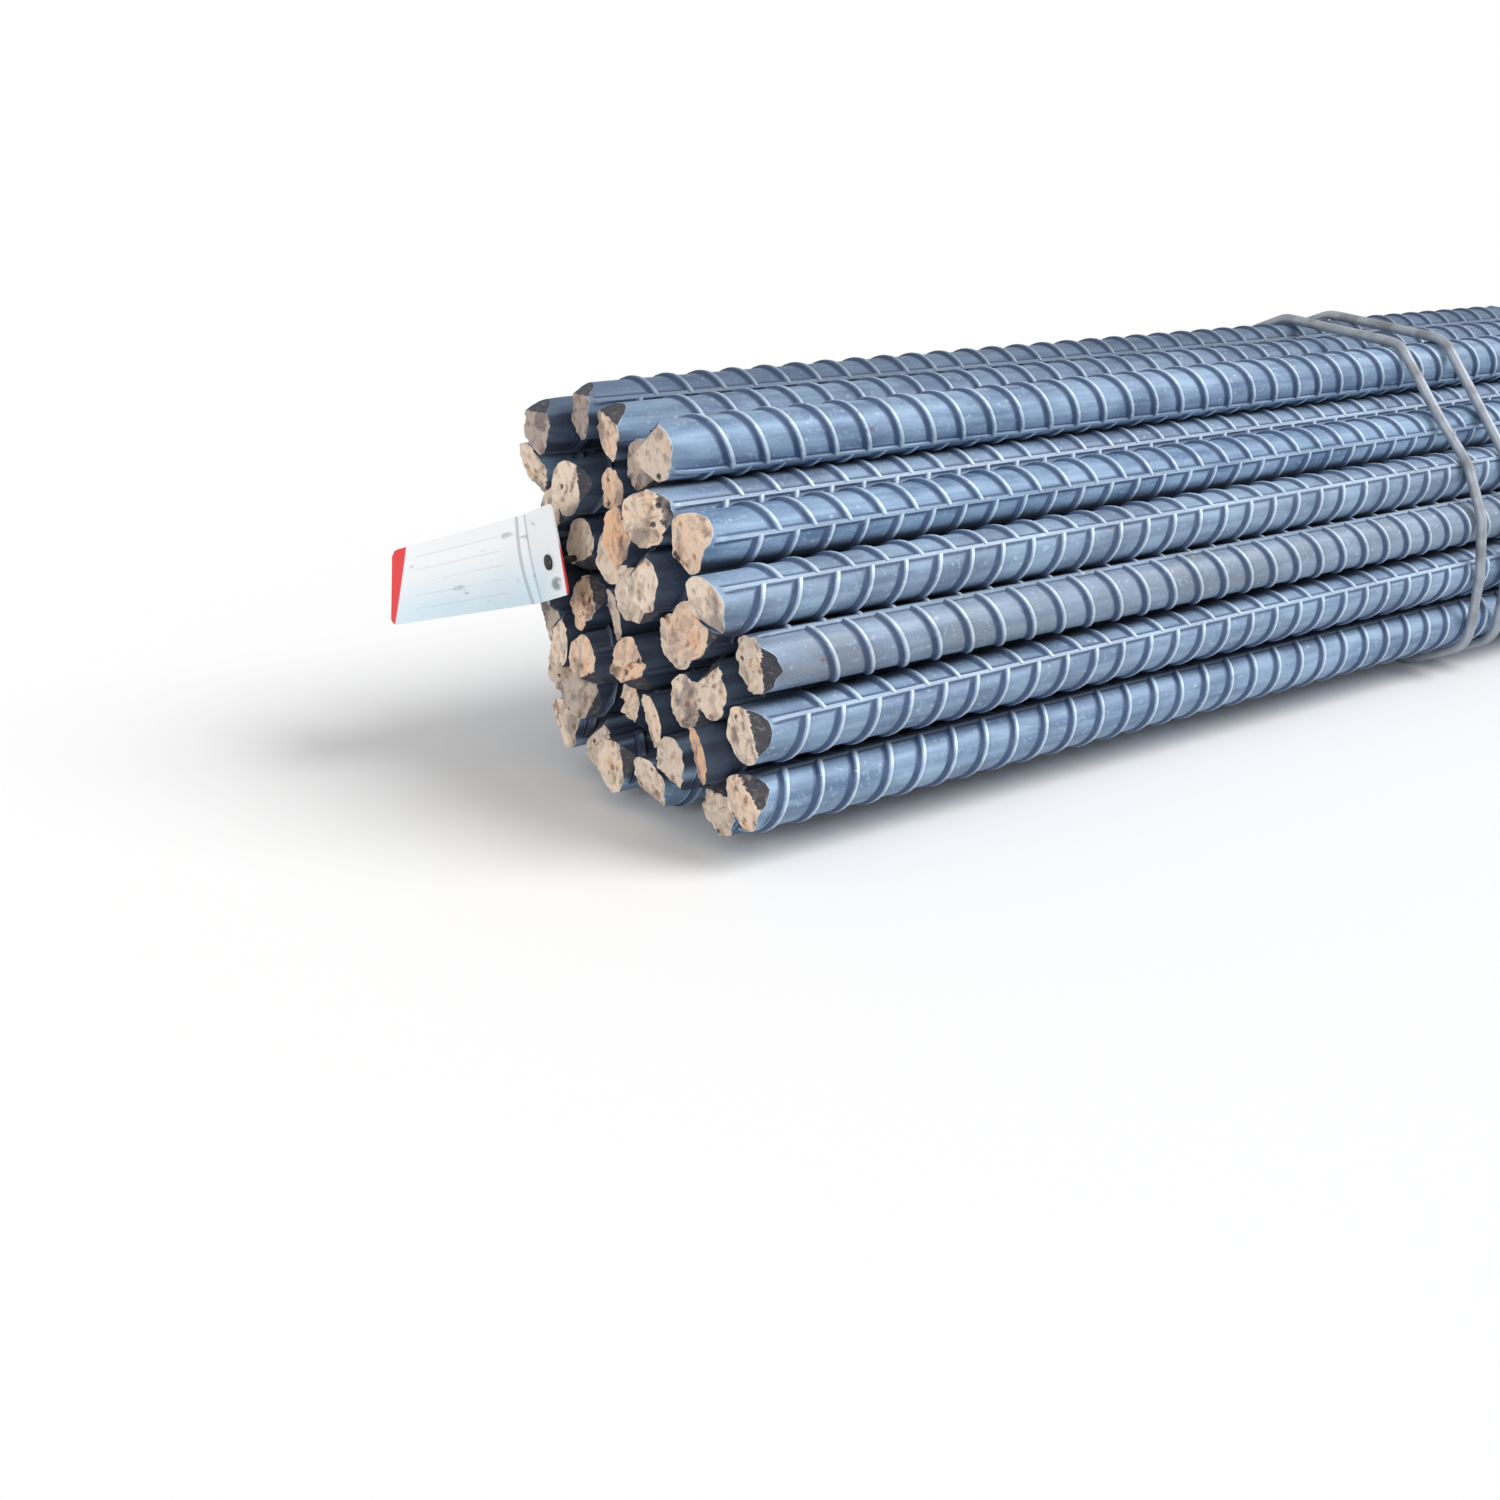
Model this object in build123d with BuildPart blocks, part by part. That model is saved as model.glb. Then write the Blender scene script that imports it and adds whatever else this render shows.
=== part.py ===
"""A tied bundle of ribbed steel reinforcing bars, lying on its wire ties.

X runs along the bars, from the tagged near end to the far end. Y runs across the bundle, away from
the side with the loose column of bars, and Z is up. The origin is the middle of the underside.
"""

import math
import os

from build123d import *

# Driving dimensions, in millimetres and degrees
bar_diameter = 25.0
bar_length = 6000.0
rib_standoff = 0.6
chip_depth = 5.5
chip_angle = 50.0

tie_wire = 5.5
tie_clearance = 0.3
tie_inset = 505.0
tie_count = 4
wrap_spacing = 31.0
twist_length = 42.0
twist_turn = 360.0
ear_drop = 8.0
wire_sides = 6

tag_length = 100.0
tag_width = 40.0
tag_thickness = 0.8
tag_flap = 30.0
tag_bend_radius = 4.0
tag_bend_angle = 50.0
tag_roll = -20.0
tag_lean = 30.0
tag_clearance = 0.3
foot_clearance = 0.1
nail_diameter = 3.0
nail_head_diameter = 7.0
nail_head_thickness = 1.4
nail_from_fold = 17.0
nail_below_middle = 4.0
nail_across = -2.0
nail_drop = 5.0

# The outer chain of bars, from the lowest side bar up the near side and over the top. Each step is
# the angle from level to the next bar, and how far apart the two lie as a share of their pitch.
side_chain = [
    (92, 1.14), (84, 1.08), (66, 1), (46, 1.08), (14, 1),
    (84, 1), (-25, 1), (27, 1), (13, 1), (-21, 1),
]
foot_step_angle = -27.0
fill_lean = 0.25

# The tied outline that the rest of the bars fill, in bar pitches from the lowest side bar
outline_centre = (3.72, 2.42)
outline_reach = (3.62, 3.10)
tag_place = (4.92, 3.10)

# How far each sheared end stands back, as a share of the stagger, and how its cut leans and turns
stagger = 16.0
far_side_lead = 9.0
setback_shares = [0.55, 0.15, 0.0, 0.75, 0.35, 0.9, 0.5, 1.0, 0.2, 0.65, 0.4, 0.8, 0.1]
cut_leans = [7, -11, 14, -5, 10, -16, 4, 12, -8]
cut_turns = [20, 95, 310, 150, 235, 60, 340]

# The ends that show, by bar from 0: how far back each stands, where the rule above isn't followed
seen_setbacks = {
    1: 17.0, 2: 23.0, 3: 9.5, 5: 6.5, 8: 18.0, 9: 18.0, 15: 13.0,
    20: 3.0, 22: 6.0, 27: 13.0, 33: 8.0, 40: 14.0,
}

bar_radius = bar_diameter / 2
bar_pitch = bar_diameter + rib_standoff
wire_radius = tie_wire / 2
wrap_radius = bar_radius + tie_clearance + wire_radius


def stepped(start, angle, looseness=1.0):
    """Gives the centre of a bar that lies beside another, at an angle from level."""
    turn = math.radians(angle)
    return (start[0] + looseness * math.cos(turn), start[1] + looseness * math.sin(turn))


def hollows(a, b):
    """Gives the two places where a bar touches both of two bars."""
    apart = math.dist(a, b)
    if apart >= 2:
        return []
    middle = ((a[0] + b[0]) / 2, (a[1] + b[1]) / 2)
    along = ((b[0] - a[0]) / apart, (b[1] - a[1]) / apart)
    rise = math.sqrt(1 - apart**2 / 4)
    return [
        (middle[0] + side * along[1] * rise, middle[1] - side * along[0] * rise)
        for side in (1, -1)
    ]


def bundle_section():
    """Lays the bars of the cross-section one by one and gives their centres, in bar pitches."""
    bars = [(0.0, 0.0)]
    for angle, looseness in side_chain:
        bars.append(stepped(bars[-1], angle, looseness))
    bars.append(stepped(bars[0], foot_step_angle))
    bed = bars[-1][1]
    slack = 0.001

    def fits(place):
        across = (place[0] - outline_centre[0]) / outline_reach[0]
        upward = (place[1] - outline_centre[1]) / outline_reach[1]
        in_outline = math.hypot(across, upward) <= 1 and place[1] >= bed - slack
        return in_outline and all(math.dist(place, bar) > 1 - slack for bar in bars)

    def order(place):
        return (round(place[0] + fill_lean * place[1], 4), place[1])

    while True:
        places = [place for i, a in enumerate(bars) for b in bars[:i] for place in hollows(a, b)]
        for y, z in bars:
            if z - bed < 1:
                places.append((y + math.sqrt(1 - (z - bed) ** 2), bed))
        places = [place for place in places if fits(place)]
        if not places:
            return bars
        bars.append(min(places, key=order))


def outer_corners(points):
    """Gives the corners of the convex outline round some points, anticlockwise."""
    corners = []
    for run in (sorted(points), sorted(points, reverse=True)):
        side = []
        for y, z in run:
            while len(side) > 1:
                (ay, az), (by, bz) = side[-2:]
                if (by - ay) * (z - az) - (bz - az) * (y - ay) > 0:
                    break
                side.pop()
            side.append((y, z))
        corners += side[:-1]
    return corners


# The cross-section stands on the wires that run under its lowest bars
section_layout = bundle_section()
section = [(y * bar_pitch, z * bar_pitch) for y, z in section_layout]
left = min(y for y, z in section)
right = max(y for y, z in section)
wrap_reach = wrap_radius + wire_radius
twist_reach = bar_radius + tie_clearance + 2 * tie_wire
middle_y = (left - wrap_reach + right + twist_reach) / 2
lift = wrap_reach - min(z for y, z in section)
centres = [(y - middle_y, z + lift) for y, z in section]


def setback(index):
    """Gives how far a bar's end stands back from the foremost end of the bundle."""
    if index in seen_setbacks:
        return seen_setbacks[index]
    share = setback_shares[index % len(setback_shares)]
    across = (section[index][0] - left) / (right - left)
    return share * stagger + (1 - across) * far_side_lead


def cut_lean(index, facing):
    """Gives how many degrees a sheared end leans from square to the bar."""
    return cut_leans[(index + facing) % len(cut_leans)]


def lean_reach(index, facing):
    """Gives how far the leaning cut stands out at the edge of the bar."""
    return bar_radius * abs(math.tan(math.radians(cut_lean(index, facing))))


def cut_plane(index, x, facing):
    """Gives the plane of a sheared end."""
    turn = math.radians(cut_turns[(index - facing) % len(cut_turns)])
    tilt = math.tan(math.radians(cut_lean(index, facing)))
    normal = (facing, tilt * math.cos(turn), tilt * math.sin(turn))
    return Plane(origin=(x, *centres[index]), z_dir=normal)


def chip_plane(index, x, facing):
    """Gives the plane that takes the corner off a sheared end, where the blade rolled it over."""
    turn = math.radians(cut_turns[(index + 2 * facing) % len(cut_turns)] + 180)
    steep = math.radians(chip_angle)
    out_y, out_z = math.cos(turn), math.sin(turn)
    inset = bar_radius - chip_depth
    y, z = centres[index]
    normal = (facing * math.cos(steep), out_y * math.sin(steep), out_z * math.sin(steep))
    return Plane(origin=(x, y + inset * out_y, z + inset * out_z), z_dir=normal)


# The tag hangs on one bar's end, clear of the ends round it, and sets the near end of the bundle
tag_bar = min(range(len(centres)), key=lambda index: math.dist(section_layout[index], tag_place))
covered = [
    index for index, centre in enumerate(centres)
    if math.dist(centre, centres[tag_bar]) < math.hypot(tag_flap, tag_width)
]
seat_setback = min(setback(index) - lean_reach(index, -1) for index in covered) - tag_clearance
bend = math.radians(tag_bend_angle)
lean = math.radians(tag_lean)
tag_plate = tag_length - tag_flap - bend * tag_bend_radius
free_edge = tag_thickness / 2 * (1 + math.cos(lean)) + tag_width / 2 * math.sin(lean)
tag_reach = (
    tag_bend_radius * (1 - math.cos(bend)) + tag_plate * math.sin(bend) + free_edge * math.cos(bend)
)
far_reach = max(setback(index) + lean_reach(index, 1) for index in range(len(centres)))
near_x = (tag_reach - seat_setback - bar_length - far_reach) / 2

# The bars, each sheared off at both ends
overcut = bar_diameter
pieces = []
for index, centre in enumerate(centres):
    start = near_x + setback(index)
    with BuildPart() as bar:
        with BuildSketch(Plane.YZ.offset(start - overcut)):
            with Locations(centre):
                Circle(bar_radius)
        extrude(amount=bar_length + 2 * overcut)
        for x, facing in ((start, -1), (start + bar_length, 1)):
            split(bisect_by=cut_plane(index, x, facing), keep=Keep.BOTTOM)
            split(bisect_by=chip_plane(index, x, facing), keep=Keep.BOTTOM)
    bar.part.label = f"bar_{index + 1:02d}"
    pieces.append(bar.part)

# The wire ties: two wraps round the bundle, joined and twisted together on the far side
corners = outer_corners(centres)
far_corner = max(corners)
far_y = far_corner[0] + wrap_radius
twist_y = far_corner[0] + bar_radius + tie_clearance + tie_wire


def heading(start, end):
    """Gives the direction from one point to another in degrees."""
    return math.degrees(math.atan2(end[1] - start[1], end[0] - start[0]))


def rim_point(corner, angle):
    """Gives the point of the wire's path at an angle round a corner bar."""
    turn = math.radians(angle)
    return (corner[0] + wrap_radius * math.cos(turn), corner[1] + wrap_radius * math.sin(turn))


def wrap_path(x):
    """Gives the wire's closed path: arcs round the corner bars, and straight runs between."""
    count = len(corners)
    with BuildLine(Plane.YZ.offset(x)) as path:
        for i, corner in enumerate(corners):
            after = corners[(i + 1) % count]
            start_angle = heading(corners[i - 1], corner) - 90
            end_angle = heading(corner, after) - 90
            CenterArc(corner, wrap_radius, start_angle, (end_angle - start_angle) % 360)
            Line(rim_point(corner, end_angle), rim_point(after, end_angle))
    return path.wires()[0]


tie_step = (bar_length - 2 * tie_inset) / (tie_count - 1)
for number in range(tie_count):
    tie_x = near_x + tie_inset + number * tie_step
    knot_top = (twist_y, far_corner[1] - ear_drop)
    with BuildPart() as tie:
        for side in (-1, 1):
            wrap = wrap_path(tie_x + side * wrap_spacing / 2)
            with BuildSketch(Plane(origin=wrap @ 0, z_dir=wrap % 0)):
                RegularPolygon(wire_radius, wire_sides)
            sweep(path=wrap)
            with BuildLine() as ear:
                Line(
                    (tie_x + side * wrap_spacing / 2, far_y, far_corner[1]),
                    (tie_x + side * wire_radius, *knot_top),
                )
            with BuildSketch(Plane(origin=ear.line @ 0, z_dir=ear.line % 0)):
                RegularPolygon(wire_radius, wire_sides)
            sweep(path=ear.line)
        twist_plane = Plane(origin=(tie_x, twist_y, knot_top[1] + wire_radius), z_dir=(0, 0, -1))
        with BuildSketch(twist_plane, mode=Mode.PRIVATE) as strands:
            with Locations((wire_radius, 0), (-wire_radius, 0)):
                RegularPolygon(wire_radius, wire_sides)
            Rectangle(wire_radius, wire_radius)
        twist = Solid.extrude_linear_with_rotation(
            strands.sketch.face(), twist_plane.origin, (0, 0, -twist_length), twist_turn
        )
        add(twist)
    tie.part.label = f"tie_{number + 1}"
    pieces.append(tie.part)

# The tag: a flap in front of the bar ends, a bend, and a plate that stands out and leans back
nail_y, nail_z = centres[tag_bar][0] + nail_across, centres[tag_bar][1] - nail_drop
tag_x = near_x + seat_setback
roll = math.radians(tag_roll)
tag_plane = Plane(
    origin=(tag_x, nail_y, nail_z),
    x_dir=(0, math.cos(roll), math.sin(roll)),
    z_dir=(0, -math.sin(roll), math.cos(roll)),
)
with BuildPart() as tag:
    with BuildSketch(tag_plane.offset(nail_below_middle - tag_width / 2)):
        with BuildLine():
            flap = Line((nail_from_fold - tag_flap, 0), (nail_from_fold, 0))
            fold = JernArc(flap @ 1, flap % 1, tag_bend_radius, tag_bend_angle)
            offset(amount=tag_thickness, side=Side.LEFT)
        make_face()
    extrude(amount=tag_width)
    heading_out = tag_plane.x_dir * math.cos(bend) + tag_plane.y_dir * math.sin(bend)
    front = tag_plane.y_dir * math.cos(bend) - tag_plane.x_dir * math.sin(bend)
    fold_edge = tag_plane.from_local_coords(fold @ 1) + tag_plane.z_dir * nail_below_middle
    fold_end = Plane(origin=fold_edge + front * tag_thickness / 2, x_dir=front, z_dir=heading_out)
    leaned_front = front * math.cos(lean) + tag_plane.z_dir * math.sin(lean)
    free_end = Plane(
        origin=fold_end.origin + heading_out * tag_plate, x_dir=leaned_front, z_dir=heading_out
    )
    for end_plane in (fold_end, free_end):
        with BuildSketch(end_plane):
            Rectangle(tag_thickness, tag_width)
    loft(ruled=True)
    with BuildSketch(Plane.YZ.offset(tag_x)):
        with Locations((nail_y, nail_z)):
            Circle(nail_diameter / 2 + tag_clearance)
    extrude(amount=-tag_bend_radius, mode=Mode.SUBTRACT)
tag.part.label = "tag"
pieces.append(tag.part)

# The stud that holds the tag: a headed nail, welded by its foot to the bar's end
bar_end_x = near_x + setback(tag_bar)
head_x = tag_x - tag_thickness - tag_clearance
with BuildPart() as tag_nail:
    with BuildSketch(Plane.YZ.offset(head_x - nail_head_thickness)):
        with Locations((nail_y, nail_z)):
            Circle(nail_head_diameter / 2)
    extrude(amount=nail_head_thickness)
    with BuildSketch(Plane.YZ.offset(head_x)):
        with Locations((nail_y, nail_z)):
            Circle(nail_diameter / 2)
    extrude(amount=bar_end_x + nail_diameter - head_x)
    split(bisect_by=cut_plane(tag_bar, bar_end_x - foot_clearance, -1), keep=Keep.TOP)
tag_nail.part.label = "tag_nail"
pieces.append(tag_nail.part)

os.makedirs("parts", exist_ok=True)
for piece in pieces:
    export_step(piece, f"parts/{piece.label}.step")
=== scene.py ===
"""Looks of a tied bundle of ribbed reinforcing bars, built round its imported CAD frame."""

import logging
import math
from collections.abc import Sequence
from dataclasses import dataclass, field, replace
from enum import Enum
from typing import Any

import bmesh
import bpy
import numpy as np
from mathutils import Matrix, Vector, noise


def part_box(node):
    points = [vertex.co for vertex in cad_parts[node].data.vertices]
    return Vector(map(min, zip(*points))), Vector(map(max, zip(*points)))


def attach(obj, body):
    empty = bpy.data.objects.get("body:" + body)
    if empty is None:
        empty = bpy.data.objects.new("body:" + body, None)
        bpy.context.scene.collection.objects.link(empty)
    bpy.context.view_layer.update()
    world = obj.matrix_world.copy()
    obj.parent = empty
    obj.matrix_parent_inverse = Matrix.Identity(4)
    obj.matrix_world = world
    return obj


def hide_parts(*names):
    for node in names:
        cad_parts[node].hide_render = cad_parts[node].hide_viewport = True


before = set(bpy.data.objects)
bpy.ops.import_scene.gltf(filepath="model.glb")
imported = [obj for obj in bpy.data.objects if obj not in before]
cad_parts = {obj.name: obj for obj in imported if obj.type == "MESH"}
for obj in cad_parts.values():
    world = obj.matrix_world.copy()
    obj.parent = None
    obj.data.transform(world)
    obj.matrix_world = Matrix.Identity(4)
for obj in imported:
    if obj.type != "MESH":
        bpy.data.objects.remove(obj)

log = logging.getLogger("rebar_bundle")

MM = 0.001
# CREST holds wear on ribs and rims, with a painted highlight on the ribs' lit flank (above 0) and painted
# shade at their feet (below 0)
CREST = "crest"
TINT = "tint"
# CREVICE holds painted shade between, under and inside the bars, and the darkening of dull bars
CREVICE = "crevice"
ZONE = "zone"
SHEARED = "sheared"
TAG_UV = "tag_uv"
SHARP_ANGLE = math.radians(34)

Colour = tuple[float, float, float]
Point = tuple[float, float, float]
Flat = tuple[float, float]


# Node building


class Graph:
    """Builds the nodes of one shader or geometry tree."""

    def __init__(self, tree: bpy.types.NodeTree) -> None:
        """Keeps the tree and empties it."""
        self.tree = tree
        tree.nodes.clear()

    def node(
        self, kind: str, settings: dict[str, Any] | None = None, sockets: dict[Any, Any] | None = None
    ) -> bpy.types.Node:
        """Adds any node.

        Args:
            kind: the node's type.
            settings: its properties, which are set first.
            sockets: values or links by socket name or number.

        Returns:
            The new node.
        """
        made = self.tree.nodes.new(kind)
        for name, value in (settings or {}).items():
            setattr(made, name, value)
        for name, value in (sockets or {}).items():
            self.feed(made.inputs[name], value)
        return made

    def feed(self, socket: bpy.types.NodeSocket, value: Any) -> None:
        """Links or sets one socket.

        Args:
            socket: the input to feed.
            value: a Shade, an output socket, or a plain value.
        """
        if isinstance(value, Shade):
            value = value.socket
        if isinstance(value, bpy.types.NodeSocket):
            self.tree.links.new(value, socket)
        elif isinstance(value, tuple) and len(value) == 3 and socket.type == "RGBA":
            socket.default_value = (*value, 1.0)
        else:
            socket.default_value = value


class Shade:
    """A shader value that adds Math nodes for the sums written on it."""

    def __init__(self, graph: Graph, socket: bpy.types.NodeSocket) -> None:
        """Wraps an output socket."""
        self.graph = graph
        self.socket = socket

    def _maths(self, operation: str, *terms: Any) -> "Shade":
        """Adds one Math node and gives its result."""
        made = self.graph.node("ShaderNodeMath", {"operation": operation}, dict(enumerate(terms)))
        return Shade(self.graph, made.outputs[0])

    def __add__(self, other: Any) -> "Shade":
        """Gives self + other."""
        return self._maths("ADD", self, other)

    __radd__ = __add__

    def __sub__(self, other: Any) -> "Shade":
        """Gives self - other."""
        return self._maths("SUBTRACT", self, other)

    def __rsub__(self, other: Any) -> "Shade":
        """Gives other - self."""
        return self._maths("SUBTRACT", other, self)

    def __mul__(self, other: Any) -> "Shade":
        """Gives self times other."""
        return self._maths("MULTIPLY", self, other)

    __rmul__ = __mul__

    def __pow__(self, other: Any) -> "Shade":
        """Gives self to the power of other."""
        return self._maths("POWER", self, other)

    def at_most(self, ceiling: Any) -> "Shade":
        """Gives the lesser of self and a ceiling."""
        return self._maths("MINIMUM", self, ceiling)

    def size(self) -> "Shade":
        """Gives self without its sign."""
        return self._maths("ABSOLUTE", self)

    def wave(self) -> "Shade":
        """Gives the sine of self."""
        return self._maths("SINE", self)

    def ramp(self, low: float, high: float) -> "Shade":
        """Gives 0 below low, 1 above high and a smooth climb between; high below low turns it round.

        Args:
            low: the value that gives 0.
            high: the value that gives 1.

        Returns:
            The climbing value.
        """
        made = self.graph.node(
            "ShaderNodeMapRange",
            {"interpolation_type": "SMOOTHSTEP"},
            {"Value": self, "From Min": low, "From Max": high},
        )
        return Shade(self.graph, made.outputs["Result"])


class Skin(Graph):
    """The shader tree of one material, with the patterns that its finishes share."""

    def __init__(self, name: str) -> None:
        """Makes a material with an empty tree and a Principled shader."""
        self.material = bpy.data.materials.new(name)
        self.material.use_nodes = True
        super().__init__(self.material.node_tree)
        self.place = self.node("ShaderNodeTexCoord").outputs["Object"]
        self.shader = self.node("ShaderNodeBsdfPrincipled")
        self.node("ShaderNodeOutputMaterial", sockets={"Surface": self.shader.outputs[0]})

    def attribute(self, name: str) -> Shade:
        """Gives a value stored on the mesh."""
        made = self.node("ShaderNodeAttribute", {"attribute_name": name})
        return Shade(self, made.outputs["Fac"])

    def stretched(self, scale: Point) -> bpy.types.NodeSocket:
        """Gives Object coordinates stretched by a scale for each axis."""
        return self.node("ShaderNodeMapping", sockets={"Vector": self.place, "Scale": scale}).outputs[0]

    def mottle(
        self, scale: float, detail: float = 3.0, stretch: Point = (1, 1, 1), offset: float = 0.0
    ) -> Shade:
        """Gives soft noise.

        Args:
            scale: how many blotches lie in a metre.
            detail: how many finer layers it has.
            stretch: a scale for each axis.
            offset: where in the noise the pattern is taken, so that patterns differ.

        Returns:
            A value from 0 to 1, mostly near 0.5.
        """
        made = self.node(
            "ShaderNodeTexNoise",
            {"noise_dimensions": "4D"},
            {"Vector": self.stretched(stretch), "W": offset, "Scale": scale, "Detail": detail},
        )
        return Shade(self, made.outputs["Fac"])

    def specks(self, scale: float, reach: float, stretch: Point = (1, 1, 1)) -> Shade:
        """Gives small spots.

        Args:
            scale: how many cells lie in a metre.
            reach: how far a spot reaches from its cell's middle, in cells.
            stretch: a scale for each axis.

        Returns:
            1 in the middle of a spot and 0 outside it.
        """
        made = self.node(
            "ShaderNodeTexVoronoi", sockets={"Vector": self.stretched(stretch), "Scale": scale}
        )
        return Shade(self, made.outputs["Distance"]).ramp(reach, reach * 0.35)

    def blend(self, first: Any, second: Any, share: Any) -> bpy.types.NodeSocket:
        """Mixes two colours.

        Args:
            first: the colour at share 0.
            second: the colour at share 1.
            share: a value from 0 to 1.

        Returns:
            The mixed colour's socket.
        """
        made = self.node("ShaderNodeMix", {"data_type": "RGBA"})
        self.feed(made.inputs[0], share)
        self.feed(made.inputs[6], first)
        self.feed(made.inputs[7], second)
        return made.outputs[2]

    def finish(
        self, colour: Any, roughness: Any, metallic: Any, relief: Any, depth: float
    ) -> bpy.types.Material:
        """Feeds the shader and gives the material.

        Args:
            colour: base colour.
            roughness: roughness.
            metallic: share of bare metal.
            relief: height pattern for the bump, from 0 to 1.
            depth: how deep the relief is, in metres.

        Returns:
            The finished material.
        """
        bump = self.node("ShaderNodeBump", sockets={"Height": relief, "Distance": depth, "Strength": 1.0})
        fed = {"Base Color": colour, "Roughness": roughness, "Metallic": metallic, "Normal": bump.outputs[0]}
        for name, value in fed.items():
            self.feed(self.shader.inputs[name], value)
        return self.material


def seen_directly(graph: Graph) -> Shade:
    """Gives 1 for rays that show a surface in the picture, in metal or through glass, and 0 for light."""
    ray = graph.node("ShaderNodeLightPath").outputs
    camera, glossy, through = (
        Shade(graph, ray[f"Is {kind} Ray"]) for kind in ("Camera", "Glossy", "Transmission")
    )
    return (camera + glossy + through).at_most(1.0)


# Finishes


@dataclass(frozen=True)
class MillScale:
    """The blue scale of a rolled bar: worn pale on the crests, with a painted highlight and painted glints,
    and near black at feet and crevices with painted shade.
    """

    dark: Colour = (0.080, 0.155, 0.290)
    pale: Colour = (0.335, 0.485, 0.665)
    brown: Colour = (0.270, 0.285, 0.310)
    # crest is the pale of worn scale, and also a painted highlight on the rib flanks that face the light
    crest: Colour = (0.620, 0.735, 0.850)
    # A painted highlight: small specular spots on the ribs
    painted_glint: Colour = (0.900, 0.950, 1.000)
    # navy is painted shade on the rib feet and on the flanks turned from the light
    navy: Colour = (0.022, 0.050, 0.125)
    # shadow is painted shade between, under and inside the bars, and the darkening of dull bars
    shadow: Colour = (0.013, 0.022, 0.050)
    rust: Colour = (0.200, 0.110, 0.070)
    metallic: float = 0.12

    def make(self) -> bpy.types.Material:
        """Builds the material."""
        skin = Skin("mill scale")
        blotches = skin.mottle(55, 4, (0.45, 1, 1)).ramp(0.34, 0.66)
        streaks = skin.mottle(260, 3, (0.08, 1, 1), 3.1).ramp(0.35, 0.7)
        grain = skin.mottle(1500, 2, offset=5.2)
        flakes = skin.mottle(420, 3, offset=8.4).ramp(0.56, 0.66)
        crest = skin.attribute(CREST)
        tint = skin.attribute(TINT)
        base = skin.blend(self.dark, self.pale, blotches * 0.55 + streaks * 0.45)
        base = skin.blend(base, self.brown, tint * (1 - blotches * 0.5))
        base = skin.blend(base, self.pale, flakes * 0.5)
        # Real wear on the crests, plus a painted highlight where the profiles raise the flank toward the
        # light
        worn = crest.ramp(0.15, 0.8) * (0.50 + streaks * 0.40 + grain * 0.5)
        base = skin.blend(base, self.crest, worn.at_most(0.9))
        # Painted glints: specular spots painted on, most of them on the crests
        painted_glints = skin.specks(230, 0.24, (0.7, 1, 1)) * (0.35 + crest.ramp(0.2, 0.9)).at_most(1.0)
        painted_glints = painted_glints * skin.mottle(40, 2, offset=4.4).ramp(0.48, 0.62)
        base = skin.blend(base, self.painted_glint, painted_glints * 0.8)
        spots = skin.specks(120, 0.16, (0.6, 1, 1)) * skin.mottle(18, 2, offset=1.7).ramp(0.58, 0.70)
        base = skin.blend(base, self.rust, spots * 0.7)
        # Painted shade: the navy darkens the rib feet and the flanks turned from the light
        foot = crest.ramp(-0.05, -0.8) * (0.80 + streaks * 0.15)
        # Painted shade: near black between neighbouring bars, under each bar and over hidden inner bars; dull
        # bars darken too
        deep = skin.attribute(CREVICE).ramp(0.12, 0.95) * 0.93
        base = skin.blend(skin.blend(base, self.navy, foot), self.shadow, deep)
        roughness = 0.40 + grain * 0.16 + blotches * 0.08 - worn * 0.12 + deep * 0.25
        relief = grain * 0.35 + flakes * 0.35 + blotches * 0.3 - spots * 0.3
        return skin.finish(base, roughness, self.metallic, relief, 0.00025)


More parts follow.
